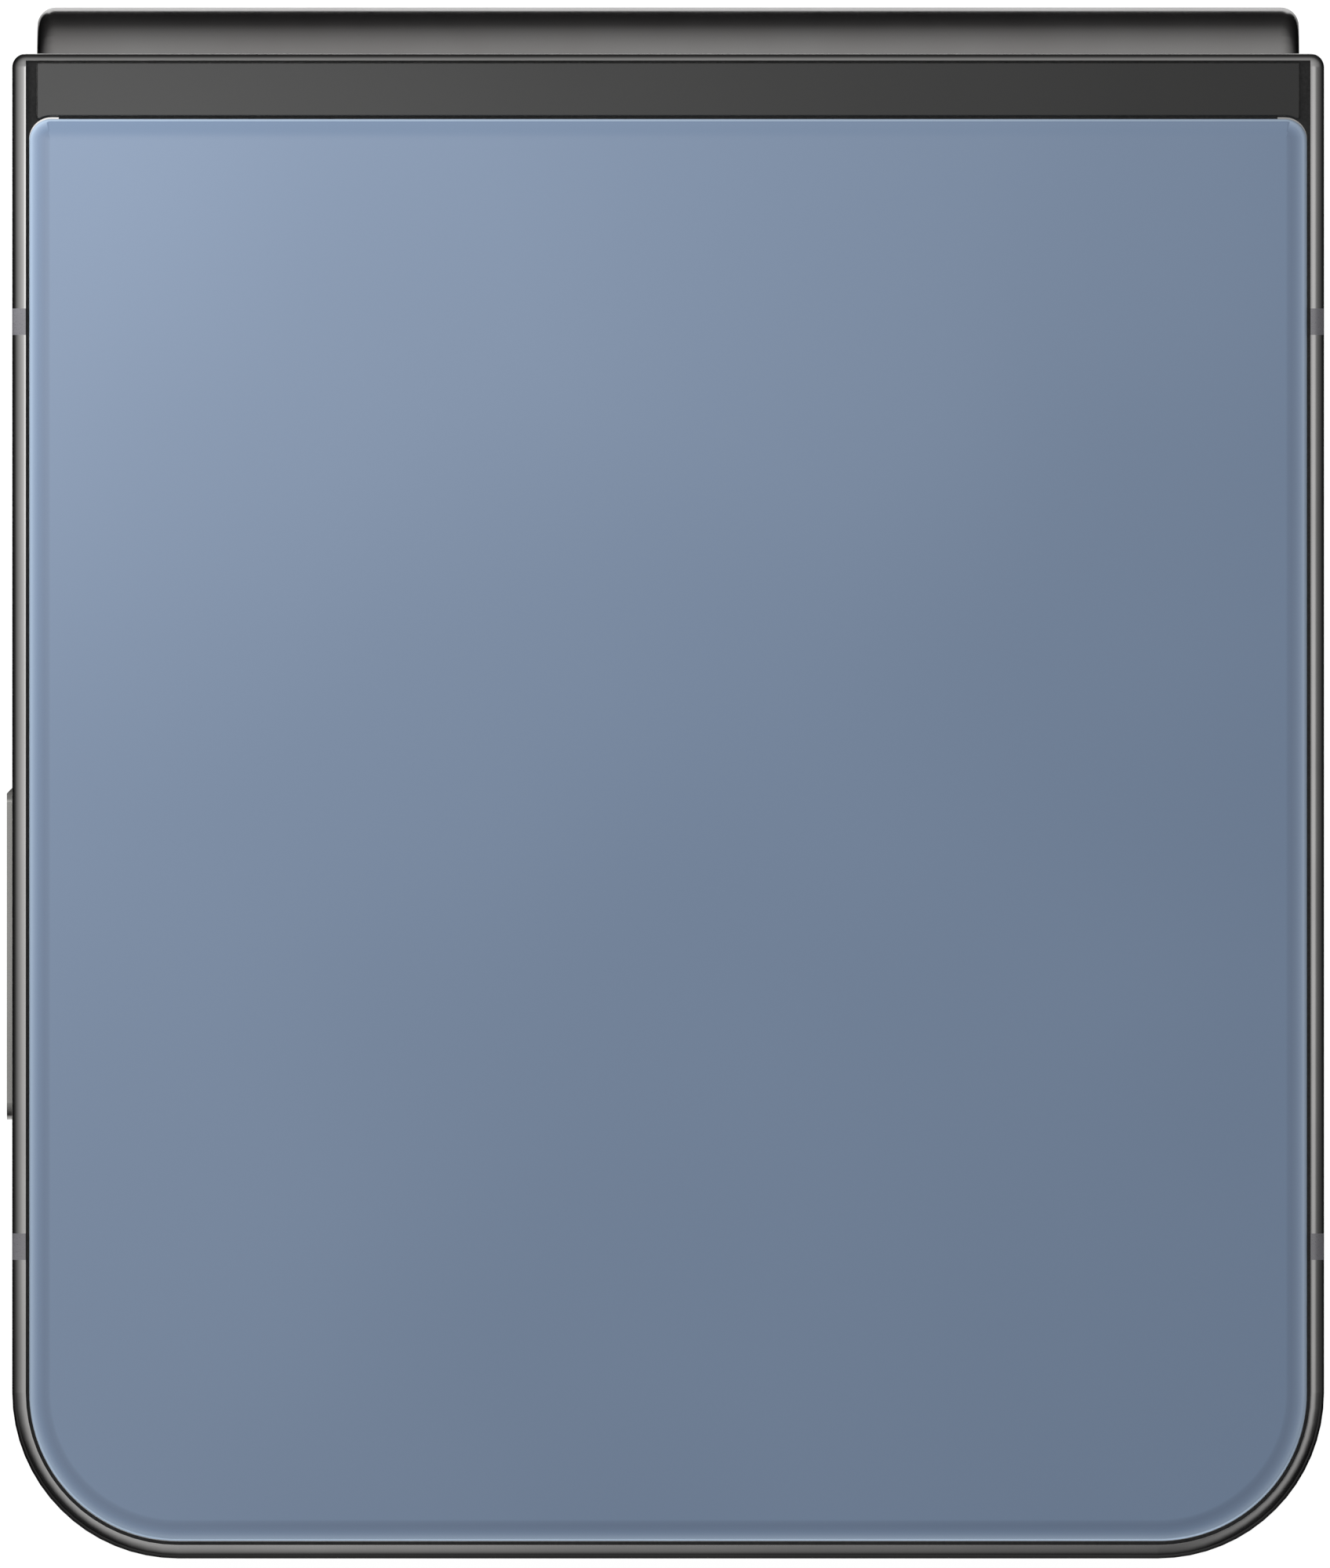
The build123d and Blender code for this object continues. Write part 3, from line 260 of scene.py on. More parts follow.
# ------------------------------------------------------------------ metals
def polished_aluminium(name, dark, light, rough):
    """Anodised aluminium with polished edges and satin flat sides.

    The edges reflect clearly. The sides are blasted before they are anodised, so they scatter
    the light and look an even grey.
    """
    finish, tree, shader, place = blank(name, rough, 1.0)
    normal = add(tree, "ShaderNodeTexCoord").outputs["Normal"]
    up = add(tree, "ShaderNodeMath",
             {0: add(tree, "ShaderNodeSeparateXYZ", {0: normal}).outputs[2]}, operation="ABSOLUTE")
    satin = spread(tree, up.outputs[0], 1.0, 0.0, 0.04, 0.26)
    cloud = grain(tree, place, 9.0)
    tree.links.new(between(tree, cloud, dark, light), shader.inputs["Base Color"])
    tree.links.new(spread(tree, satin, 1.0, 0.45, 0.0, 1.0), shader.inputs["Metallic"])
    wipe = grain(tree, place, 1.6, (1, 6, 1), 5.0)
    soft = spread(tree, wipe, rough * 0.92, rough * 1.1)
    fuller = add(tree, "ShaderNodeMath", {0: satin, 2: soft}, {1: 0.24}, operation="MULTIPLY_ADD")
    tree.links.new(fuller.outputs[0], shader.inputs["Roughness"])
    lines = grain(tree, place, 0.12, (1, 14, 1), 2.0)
    relief(tree, shader, lines, 0.0004)
    return finish


def turned_aluminium(name, dark, light, rough):
    """Anodised aluminium off a lathe: fine rings about each camera's axis."""
    finish, tree, shader, place = blank(name, rough, 1.0)
    tree.links.new(between(tree, grain(tree, place, 3.0), dark, light), shader.inputs["Base Color"])
    parts = add(tree, "ShaderNodeSeparateXYZ", {0: place})
    middle, pitch = (MAIN_CAMERA_X + WIDE_CAMERA_X) / 2, 0.09
    side = add(tree, "ShaderNodeMath", {0: parts.outputs[0]}, {1: middle}, operation="SUBTRACT")
    far = add(tree, "ShaderNodeMath", {0: side.outputs[0]}, operation="ABSOLUTE")
    local = add(tree, "ShaderNodeMath", {0: far.outputs[0]},
                {1: (WIDE_CAMERA_X - MAIN_CAMERA_X) / 2}, operation="SUBTRACT")
    along = add(tree, "ShaderNodeMath", {0: parts.outputs[1]}, {1: CAMERA_Y}, operation="SUBTRACT")
    disc = add(tree, "ShaderNodeCombineXYZ", {0: local.outputs[0], 1: along.outputs[0]})
    radius = add(tree, "ShaderNodeVectorMath", {0: disc.outputs[0]}, operation="LENGTH")
    wave = add(tree, "ShaderNodeMath", {0: radius.outputs["Value"]}, {1: 2 * math.pi / pitch},
               operation="MULTIPLY")
    rings = add(tree, "ShaderNodeMath", {0: wave.outputs[0]}, operation="SINE")
    relief(tree, shader, rings.outputs[0], 0.0006)
    return finish


def worked_steel(name, dark, light, rough, spot, stretch=(1, 1, 1), depth=0.002):
    """Steel as stamped, drawn, ground or sintered, by the size and run of its grain."""
    finish, tree, shader, place = blank(name, rough, 1.0)
    marks = grain(tree, place, spot, stretch, 6.0)
    tree.links.new(between(tree, marks, dark, light, 0.3, 0.7), shader.inputs["Base Color"])
    tree.links.new(spread(tree, marks, rough * 0.8, rough * 1.3), shader.inputs["Roughness"])
    relief(tree, shader, marks, depth)
    return finish


def wound_copper(name):
    """Enamelled copper wire wound flat: a ring for every turn, and painted shade in the grooves."""
    finish, tree, shader, place = blank(name, 0.28, 1.0, Coat_Weight=0.5, Coat_Roughness=0.15)
    low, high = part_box("charging_coil")
    middle, pitch = (low + high) / 2 / MM, 0.55
    moved = add(tree, "ShaderNodeMapping", {"Vector": place},
                {"Location": (-middle.x, -middle.y, 0), "Scale": (1, 1, 0)})
    radius = add(tree, "ShaderNodeVectorMath", {0: moved.outputs[0]}, operation="LENGTH")
    turns = add(tree, "ShaderNodeMath", {0: radius.outputs["Value"]}, {1: 2 * math.pi / pitch},
                operation="MULTIPLY")
    wire = add(tree, "ShaderNodeMath", {0: turns.outputs[0]}, operation="SINE")
    # the grooves between turns are painted darker than the crests: painted shade
    tree.links.new(between(tree, wire.outputs[0], "6E3A1C", "C98550", 0.0, 0.8),
                   shader.inputs["Base Color"])
    relief(tree, shader, wire.outputs[0], 0.05)
    return finish


# ------------------------------------------------------------------ plastics, rubber, felt
def moulded_plastic(name, dark, light, rough, texture, depth, **sockets):
    """Moulded plastic: a fine spark-eroded texture and a faint change of tone."""
    finish, tree, shader, place = blank(name, rough, 0.0, **sockets)
    tree.links.new(between(tree, grain(tree, place, 6.0), dark, light), shader.inputs["Base Color"])
    fine = grain(tree, place, texture, detail=4.0)
    tree.links.new(spread(tree, fine, rough * 0.85, rough * 1.15), shader.inputs["Roughness"])
    relief(tree, shader, fine, depth)
    return finish


def brushed_felt(name):
    """Short nylon pile: fine fibres along y that give a soft pale edge."""
    finish, tree, shader, place = blank(name, 0.95, 0.0, Sheen_Weight=0.6, Sheen_Roughness=0.4)
    pile = grain(tree, place, 0.06, (1, 5, 1), 4.0)
    tree.links.new(between(tree, pile, "111112", "3A3A3C"), shader.inputs["Base Color"])
    relief(tree, shader, pile, 0.03)
    return finish


def foil_wrap(name):
    """Laminated battery foil: dark satin film with soft wrinkles."""
    finish, tree, shader, place = blank(name, 0.38, 0.35)
    folds = grain(tree, place, 7.0, (1, 2.5, 1), 4.0)
    tree.links.new(between(tree, folds, "2A2B2E", "43454A"), shader.inputs["Base Color"])
    relief(tree, shader, folds, 0.12)
    return finish


def solder_mask(name):
    """Green solder mask: raised copper tracks under it and small bright pads."""
    finish, tree, shader, place = blank(name, 0.32, 0.0, Coat_Weight=0.6, Coat_Roughness=0.12)
    tracks = add(tree, "ShaderNodeTexBrick", {"Vector": place},
                 {"Scale": 0.55, "Mortar Size": 0.12, "Mortar Smooth": 0.2, "Brick Width": 1.4,
                  "Row Height": 0.5, "Color1": hue("0E4A30"), "Color2": hue("0B3D28"),
                  "Mortar": hue("1C6B46")})
    cells = add(tree, "ShaderNodeTexVoronoi", {"Vector": place}, {"Scale": 0.6, "Randomness": 0.7})
    pad = spread(tree, cells.outputs["Distance"], 1.0, 0.0, 0.16, 0.22)
    tinned = add(tree, "ShaderNodeMix", {0: pad, MIX_A: tracks.outputs["Color"]},
                 {MIX_B: hue("C9A55A")}, data_type="RGBA")
    tree.links.new(tinned.outputs[MIX_OUT], shader.inputs["Base Color"])
    tree.links.new(pad, shader.inputs["Metallic"])
    relief(tree, shader, tracks.outputs["Fac"], 0.03)
    return finish


# ------------------------------------------------------------------ glass and screens
# Colour multipliers along the glass's rim attribute: a painted highlight on the ground edge, then
# painted shade over the rolled part.
RIM_PAINTED_LIGHT_AND_SHADE = ((0.0, (2.4, 2.1, 1.75)), (0.08, (2.2, 1.98, 1.7)), (0.14, (1.8, 1.65, 1.48)),
             (0.28, (1.3, 1.24, 1.18)), (0.42, (1.0, 1.0, 1.0)), (0.56, (0.88, 0.88, 0.89)),
             (0.72, (0.81, 0.81, 0.83)), (0.88, (0.86, 0.86, 0.87)),
             (0.95, (0.94, 0.94, 0.94)), (1.0, (1.0, 1.0, 1.0)))
# How far the painted highlight along the far edge brightens the glass's colour.
SILL_PAINTED_GAIN = 2.4


def coated_back_glass(name):
    """Chemically strengthened glass over a blue-grey film: a clear gloss over a soft, pale depth.

    The rim attribute runs from 0 at the glass's edge to 1 where its flat starts. Over it, the
    colour is made bright on the ground edge, a painted highlight, and darker over the rolled part,
    painted shade. The far edge's attribute is 1 on the ground edge at the far end, where the colour
    is brightened further: a painted highlight.
    """
    finish, tree, shader, place = blank(name, 0.45, 0.0, Specular_IOR_Level=0.2, Coat_Weight=1.0,
                                        Coat_Roughness=0.05)
    film = between(tree, grain(tree, place, 28.0, detail=1.0), "5F7087", "62738A")
    rim = add(tree, "ShaderNodeAttribute", attribute_name="rim")
    # painted highlight on the ground edge and painted shade over the rolled part
    light = ramp(tree, rim.outputs["Fac"], [(at, (*tint, 1)) for at, tint in RIM_PAINTED_LIGHT_AND_SHADE])
    mixed = add(tree, "ShaderNodeMix", {MIX_A: film, MIX_B: light}, {0: 1.0},
                data_type="RGBA", blend_type="MULTIPLY")
    # a painted highlight: the colour brightened along the far edge
    sill_painted_highlight = add(tree, "ShaderNodeAttribute", attribute_name="sill_painted_highlight")
    far_edge_painted_gain = spread(tree, sill_painted_highlight.outputs["Fac"], 1.0, SILL_PAINTED_GAIN, 0.0, 1.0)
    painted_glass_colour = add(tree, "ShaderNodeMix", {MIX_A: mixed.outputs[MIX_OUT], MIX_B: far_edge_painted_gain}, {0: 1.0},
                  data_type="RGBA", blend_type="MULTIPLY")
    tree.links.new(painted_glass_colour.outputs[MIX_OUT], shader.inputs["Base Color"])
    smear = grain(tree, place, 14.0, (1, 2, 1), 5.0)
    tree.links.new(spread(tree, smear, 0.41, 0.49), shader.inputs["Roughness"])
    relief(tree, shader, grain(tree, place, 3.0, detail=1.0), 0.0001)
    return finish


def black_glass(name, dark, light, smear_low, smear_high):
    """Black-backed glass: deep gloss, with the faint unevenness of a wiped surface."""
    finish, tree, shader, place = blank(name, smear_low, 0.0, Coat_Weight=1.0, Coat_Roughness=0.03)
    smear = grain(tree, place, 11.0, (1, 3, 1), 6.0)
    tree.links.new(between(tree, smear, dark, light), shader.inputs["Base Color"])
    tree.links.new(spread(tree, smear, smear_low, smear_high), shader.inputs["Roughness"])
    relief(tree, shader, grain(tree, place, 2.0, detail=1.0), 0.0001)
    return finish


def optical_glass(name, tint_a, tint_b):
    """Coated lens glass: clear, with a purple-green bloom where it turns away."""
    finish, tree, shader, place = blank(name, 0.02, 0.0, IOR=1.52, Transmission_Weight=0.96)
    facing = add(tree, "ShaderNodeLayerWeight", values={"Blend": 0.35})
    bloom = between(tree, facing.outputs["Facing"], tint_a, tint_b, 0.1, 0.8)
    tree.links.new(bloom, shader.inputs["Specular Tint"])
    tone = grain(tree, place, 4.0, detail=1.0)
    tree.links.new(between(tree, tone, "F2F4F8", "FFFFFF"), shader.inputs["Base Color"])
    return finish


def lens_element(name):
    """The coated front lens in a barrel: near black, with a blue-violet coat."""
    finish, tree, shader, place = blank(name, 0.04, 0.0, Coat_Weight=1.0, Coat_Roughness=0.01,
                                        Coat_Tint=hue("8FA0FF"))
    facing = add(tree, "ShaderNodeLayerWeight", values={"Blend": 0.45})
    # the base colour turns violet where the lens turns away from view: a painted reflection of the
    # coat's bloom
    tree.links.new(between(tree, facing.outputs["Facing"], "07080F", "2A2450", 0.05, 0.6),
                   shader.inputs["Base Color"])
    tree.links.new(spread(tree, grain(tree, place, 1.0), 0.03, 0.06), shader.inputs["Roughness"])
    return finish


def flash_diffuser(name):
    """Moulded clear diffuser over a yellow phosphor: fine concentric prisms."""
    finish, tree, shader, place = blank(name, 0.22, 0.0, Coat_Weight=1.0, Coat_Roughness=0.05,
                                        Subsurface_Weight=0.15)
    moved = add(tree, "ShaderNodeMapping", {"Vector": place},
                {"Location": (-FLASH_X, -CAMERA_Y, 0), "Scale": (1, 1, 0)})
    radius = add(tree, "ShaderNodeVectorMath", {0: moved.outputs[0]}, operation="LENGTH")
    prism = add(tree, "ShaderNodeMath", {0: radius.outputs["Value"]}, {1: 0.22},
                operation="MODULO")
    tree.links.new(between(tree, radius.outputs["Value"], "F0D98A", "ECEAE0", 0.3, 0.9),
                   shader.inputs["Base Color"])
    relief(tree, shader, prism.outputs[0], 0.12)
    return finish


FINISHES = {
    "polished_frame": polished_aluminium("anodised graphite aluminium, polished",
                                         "AEADAC", "B6B5B4", 0.13),
    "spine_metal": polished_aluminium("anodised graphite aluminium, spine",
                                      "918F8E", "979695", 0.18),
    "key_metal": polished_aluminium("anodised graphite aluminium, keys",
                                    "8E8D8A", "979693", 0.22),
    "lens_ring": turned_aluminium("turned graphite aluminium", "7E7E7E", "8A8A8A", 0.22),
    "antenna_plastic": moulded_plastic("glass-filled nylon insert", "5C5B5F", "636266",
                                       0.30, 0.08, 0.0008, Specular_IOR_Level=0.8,
                                       Coat_Weight=0.6, Coat_Roughness=0.2),
    "trim_strip": moulded_plastic("lacquered polycarbonate", "0D0D0C", "0F0F0E",
                                  0.15, 0.05, 0.0002, Specular_IOR_Level=0.6),
    "back_glass": coated_back_glass("strengthened glass over blue-grey film"),
    "cover_glass": black_glass("black-backed strengthened glass", "08090B", "0D0E11", 0.05, 0.14),
    "screen": black_glass("switched-off panel under thin glass", "07070A", "0B0B10", 0.08, 0.18),
    "lens_glass": optical_glass("coated window glass", "B9A8FF", "B8FFD9"),
    "flash_diffuser": flash_diffuser("moulded acrylic diffuser"),
    "bezel_plastic": moulded_plastic("black moulded polycarbonate", "0E0E0F", "161617",
                                     0.45, 0.1, 0.002),
    "bumper_rubber": moulded_plastic("soft black rubber", "0F0F0F", "161616", 0.75, 0.15, 0.006),
    "battery_foil": foil_wrap("laminated cell foil"),
    "circuit_board": solder_mask("solder-masked circuit board"),
    "camera_body": moulded_plastic("blackened camera module", "0B0B0C", "141416",
                                   0.5, 0.06, 0.001),
    "module_plastic": moulded_plastic("black glass-filled nylon", "141415", "202022",
                                      0.55, 0.12, 0.004),
    "stamped_steel": worked_steel("stamped stainless steel", "B5B4B0", "C8C7C3",
                                  0.30, 0.8, (1, 5, 1)),
    "port_steel": worked_steel("deep-drawn stainless steel", "9A9996", "B0AFAC",
                               0.26, 0.25, (1, 10, 1)),
    "switch_steel": worked_steel("dome spring steel", "A8A49A", "C2BEB4", 0.28, 0.3),
    "screw_steel": worked_steel("cold-headed screw steel", "9C9C9C", "B4B4B4", 0.34, 0.12),
    "gear_steel": worked_steel("sintered steel", "8A8A88", "A5A5A3", 0.42, 0.07, depth=0.004),
    "hinge_steel": worked_steel("metal-injection-moulded steel", "7C7C7C", "939393",
                                0.36, 0.18, depth=0.003),
    "coil_copper": wound_copper("enamelled copper winding"),
    "dust_felt": brushed_felt("short nylon pile"),
}

SLOT_OF = {part["node"]: part["material_slot"] for part in frame["record"]["subparts"]}
for node_name, node in NODES.items():
    node.data.materials.clear()
    node.data.materials.append(FINISHES[SLOT_OF[node_name]])


def dress(piece, body, slot, finish=None):
    """Gives a new piece its slot's finish, or the one given, and any body that it rides on."""
    piece.data.materials.clear()
    piece.data.materials.append(finish or FINISHES[slot])
    if body:
        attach(piece, body)
    return piece


# ------------------------------------------------------------------ back glass
GLASS_ROLL = 1.18         # how far in from its outline the glass becomes flat
SOFT_DROP = 0.10          # how much of its edge's drop is spread over all of that
TIGHT_DROP = 0.14         # and how much falls off over the last TIGHT_WIDTH
TIGHT_WIDTH = 0.18
ROLL_STEPS = (0, 0.015, 0.04, 0.075, 0.12, 0.17, 0.25, 0.36, 0.48, 0.6, 0.72, 0.84, 0.96, 1.07,
              GLASS_ROLL)
GROUND_EDGE = 0.13        # how much of the edge carries a painted highlight beside the strip
SILL_PAINTED_WIDTH = 0.13         # and at the far end, where it fades out over the width below
SILL_PAINTED_FADE = 0.06
STRIP_FIT = 0.09          # how much further from the strip than its solid the glass ends
FAR_FIT = 0.03            # and from the far rail


def edge_height(inset):
    """How far the glass has dropped at an inset from its outline: a soft roll to a tight edge."""
    soft = SOFT_DROP * max(0.0, 1 - inset / GLASS_ROLL) ** 2
    tight = TIGHT_DROP * max(0.0, 1 - inset / TIGHT_WIDTH) ** 2.2
    return -(soft + tight)


def rolled_glass():
    """The lower half's back glass, its edges rolled off towards the frame."""
    low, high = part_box("back_glass")
    low.y, high.y = low.y + FAR_FIT * MM, high.y - STRIP_FIT * MM
    glass = outline_slab("rolled_back_glass", low, high)
    heights = [edge_height(inset) for inset in ROLL_STEPS]
    pick(glass, "FACE", lambda f: f.normal.z > 0.9)
    bpy.ops.transform.translate(value=(0, 0, heights[0] * MM))
    for i in range(1, len(ROLL_STEPS)):
        bpy.ops.mesh.inset(thickness=(ROLL_STEPS[i] - ROLL_STEPS[i - 1]) * MM,
                           depth=(heights[i] - heights[i - 1]) * MM)
    bpy.ops.object.mode_set(mode="OBJECT")
    rim = glass.data.attributes.new("rim", "FLOAT", "POINT")
    sill_painted_highlight = glass.data.attributes.new("sill_painted_highlight", "FLOAT", "POINT")
    arc_x, arc_y = HALF_WIDTH - CORNER_RADIUS, FAR_EDGE_Y + CORNER_RADIUS
    for i, point in enumerate(glass.data.vertices):
        drop = point.co.z / MM - GLASS_TOP_Z
        inset = min(ROLL_STEPS, key=lambda d: abs(edge_height(d) - drop))
        beside_strip = (high.y - point.co.y) / MM < inset + 0.02 and inset > GROUND_EDGE
        rim.data[i].value = 1.0 if beside_strip else inset / GLASS_ROLL
        # the mask for the painted highlight along the far edge
        side = max(0.0, abs(point.co.x) / MM - arc_x)
        down = max(0.0, arc_y - point.co.y / MM)
        facing = down / math.hypot(side, down) if down > 0 else 0.0
        sill_painted_highlight.data[i].value = facing * min(1.0, max(0.0, (SILL_PAINTED_WIDTH - inset) / SILL_PAINTED_FADE))
    finish_mesh(glass, 40)
    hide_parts("back_glass")
    return dress(glass, "lower_half", "back_glass")


# ------------------------------------------------------------------ hinge strips, and seals that are partly painted shade
HALVES = {
    "lower": {"body": "lower_half", "side": 1, "glass": "back_glass", "strip": "lower_hinge_trim",
              "set_back": STRIP_FIT},
    "upper": {"body": "upper_half", "side": -1, "glass": "cover_glass", "strip": "upper_hinge_trim",
              "set_back": 0.0},
}
BROKEN_EDGE = 0.05        # bevel on the strips' outer edges
SEAL_FIT = 0.01           # between a seal and what it lies round
SEAL_RISE = 0.38          # of the seal above its pocket's floor
BEAD_TOP, BEAD_BOTTOM = 0.20, 0.45   # how deep a bead lies below the strip's face
BEAD_FIT, BEAD_BEVEL = 0.005, 0.03


def hinge_strip(name, half):
    """The lacquered strip between the spine and the glass, its outer edges just broken."""
    low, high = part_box(half["strip"])
    strip = slab(name, low, high)
    glass_low, glass_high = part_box(half["glass"])
    clear = Vector((0, 0, 1)) * MM
    carve(strip, outline_slab("glass room", glass_low - clear, glass_high + clear, STRIP_GAP))
    face_z = high.z if half["side"] > 0 else low.z
    pick(strip, "EDGE", lambda e: all(abs(v.co.z - face_z) < 1e-6 for v in e.verts)
         and any(abs(f.normal.z) < 0.5 for f in e.link_faces))
    bpy.ops.mesh.bevel(offset=BROKEN_EDGE * MM, segments=3, affect="EDGES")
    bpy.ops.object.mode_set(mode="OBJECT")
    finish_mesh(strip, 40)
    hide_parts(half["strip"])
    return dress(strip, half["body"], "trim_strip")


def edge_seal_and_shade(name, half):
    """The black adhesive seal that fills the gaps round the glass and the hinge strip.

    It is partly a real seal and partly painted shade: a dark piece where the gaps show shade.
    """
    side = half["side"]
    glass_low, glass_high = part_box(half["glass"])
    floor_z = glass_low.z if side > 0 else glass_high.z
    top_z = floor_z + side * SEAL_RISE * MM
    edge_x = (HALF_WIDTH - POCKET_INSET - SEAL_FIT) * MM
    low = Vector((-edge_x, (FAR_EDGE_Y + POCKET_INSET + SEAL_FIT) * MM, min(floor_z, top_z)))
    high = Vector((edge_x, (HINGE_EDGE_Y - LIP_WIDTH - SEAL_FIT) * MM, max(floor_z, top_z)))
    # a black piece, partly real adhesive and partly painted shade for the gaps
    seal = slab(name, low, high)
    round_corners(seal, CORNER_RADIUS - POCKET_INSET, 32, lambda p: p.y < 0)
    bpy.ops.object.mode_set(mode="OBJECT")
    clear = Vector((0, 0, 1)) * MM
    carve(seal, outline_slab("glass room", glass_low - clear, glass_high + clear, SEAL_FIT))
    strip_low, strip_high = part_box(half["strip"])
    strip_low.y = glass_high.y + STRIP_GAP * MM
    more = Vector((SEAL_FIT, SEAL_FIT, 1)) * MM
    carve(seal, slab("strip room", strip_low - more, strip_high + more))
    finish_mesh(seal, 40)
    return dress(seal, half["body"], "bumper_rubber")


def strip_bead_and_shade(name, half):
    """A bead of black adhesive that fills the joint between the glass and the hinge strip.

    It is partly real adhesive and partly painted shade: a dark piece where the joint shows shade.
    """
    side = half["side"]
    strip_low, strip_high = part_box(half["strip"])
    joint_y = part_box(half["glass"])[1].y
    near_z = strip_high.z if side > 0 else strip_low.z
    top, bottom = near_z - side * BEAD_TOP * MM, near_z - side * BEAD_BOTTOM * MM
    end = GLASS_HINGE_RADIUS * MM
    low = Vector((strip_low.x + end, joint_y - (half["set_back"] - BEAD_FIT) * MM,
                  min(top, bottom)))
    high = Vector((strip_high.x - end, joint_y + (STRIP_GAP - BEAD_FIT) * MM, max(top, bottom)))
    # a black piece, partly real adhesive and partly painted shade for the joint
    bead = slab(name, low, high)
    pick(bead, "EDGE", lambda e: all(abs(v.co.z - top) < 1e-6 for v in e.verts))
    bpy.ops.mesh.bevel(offset=BEAD_BEVEL * MM, segments=3, affect="EDGES")
    bpy.ops.object.mode_set(mode="OBJECT")
    finish_mesh(bead, 40)
    return dress(bead, half["body"], "bumper_rubber")


# ------------------------------------------------------------------ inner screen
PIVOT = (-1.15, 1.2)             # the lower half's pin, as (y, z) from the fold's origin
APEX = -1.70                     # how deep the screen's face lies when the phone is open
FLAT_Z = 0.65                    # of its face above the middle plane when the phone is closed
BLEND_START = (-1.262, 0.2501)   # the screen stays with the spine before this point
BLEND_END = (-2.5783, 2.4916)    # and goes with the half after this one
FOLD_SPAN = (BLEND_END[0] - BLEND_START[0], BLEND_END[1] - BLEND_START[1])
STRAIGHT_FROM = 8.25             # how far from the crease the screen has become a straight sheet
SHEET = 0.3                      # thickness of the part that folds, and half of the rest
SCREEN_REACH = 79.7              # from the crease to the far end
SCREEN_HALF_WIDTH = 33.1
SCREEN_CORNER = 6.25
CUTS = [0.25 * k for k in range(1, 33)] + [STRAIGHT_FROM, 8.6, 9.0]   # across it, by the crease
FRONT_CAMERA_HOLE = 1.9          # radius of its opening in the screen


def turned_back(v, depth, weight):
    """Where a point of the open screen lies once it is turned back by that share of 90 degrees.

    The point is v from the crease and depth under the screen's face.
    """
    y, z = APEX + depth - PIVOT[0], v - PIVOT[1]
    turn = math.radians(90) * weight
    return (PIVOT[0] + y * math.cos(turn) - z * math.sin(turn),
            PIVOT[1] + y * math.sin(turn) + z * math.cos(turn))


def fold_weight(v, depth, near):
    """The share at which a point lies where the blend between spine and half gives it that share.

    Folded like this, the screen opens exactly flat. Of several such shares, it is the one nearest
    to near.
    """
    def miss(weight):
        y, z = turned_back(v, depth, weight)
        along = ((y - BLEND_START[0]) * FOLD_SPAN[0] + (z - BLEND_START[1]) * FOLD_SPAN[1])
        t = min(max(along / (FOLD_SPAN[0] ** 2 + FOLD_SPAN[1] ** 2), 0.0), 1.0)
        return weight - t * t * (3 - 2 * t)

    steps, found = 400, []
    misses = [miss(k / steps) for k in range(steps + 1)]
    for k, (before, after) in enumerate(zip(misses, misses[1:])):
        if before * after <= 0 and before != after:
            found.append((k + before / (before - after)) / steps)
    return min(found, key=lambda weight: abs(weight - near), default=near)


def folding_screen(name, side):
    """One half's part of the inner screen, from the crease to its far end.

    It is made flat and open, cut across into narrow steps by the crease, then folded.
    """
    sheet = slab(name, (-SCREEN_HALF_WIDTH * MM, 0, 0),
                 (SCREEN_HALF_WIDTH * MM, SCREEN_REACH * MM, 2 * SHEET * MM))
    round_corners(sheet, SCREEN_CORNER, 16, lambda p: p.y > 0.5 * SCREEN_REACH * MM)
    for v in CUTS:
        pick(sheet, "FACE", lambda f: True)
        bpy.ops.mesh.bisect(plane_co=(0, v * MM, 0), plane_no=(0, 1, 0))
    bpy.ops.object.mode_set(mode="OBJECT")
    rows = {}
    for point in sheet.data.vertices:
        rows.setdefault((point.co.z > SHEET * MM, round(point.co.y / MM, 4)), []).append(point)
    weight = 1.0
    for under, v in sorted(rows, key=lambda row: (row[0], -row[1])):
        thick = SHEET + SHEET * min(1.0, max(0.0, (v - STRAIGHT_FROM) / 0.5))
        depth = thick if under else 0.0
        weight = 1.0 if v >= STRAIGHT_FROM else fold_weight(v, depth, weight)
        y, z = turned_back(v, depth, weight)
        for point in rows[(under, v)]:
            point.co.y = (HINGE_EDGE_Y + y) * MM
            point.co.z = (MID_Z + side * z) * MM
    only(sheet)
    bpy.ops.object.mode_set(mode="EDIT")
    bpy.ops.mesh.select_all(action="SELECT")
    bpy.ops.mesh.normals_make_consistent(inside=False)
    bpy.ops.object.mode_set(mode="OBJECT")
    return sheet


def inner_screens():
    """Both halves' parts of the inner screen, the upper one with its front camera's hole."""
    for name, half, flat_nodes in (
            ("inner_screen_lower", HALVES["lower"], ["lower_display", "display_fold"]),
            ("inner_screen_upper", HALVES["upper"], ["upper_display"])):
        side, body = half["side"], half["body"]
        sheet = folding_screen(name, side)
        if body == "upper_half":
            bpy.ops.object.select_all(action="DESELECT")
            bpy.ops.mesh.primitive_cylinder_add(
                vertices=48, radius=FRONT_CAMERA_HOLE * MM, depth=4 * MM,
                location=(0, FRONT_CAMERA_Y * MM, (MID_Z - FLAT_Z) * MM))
            carve(sheet, bpy.context.object)
        finish_mesh(sheet, 40)
        dress(sheet, None, "screen")
        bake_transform(sheet)
        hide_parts(*flat_nodes)


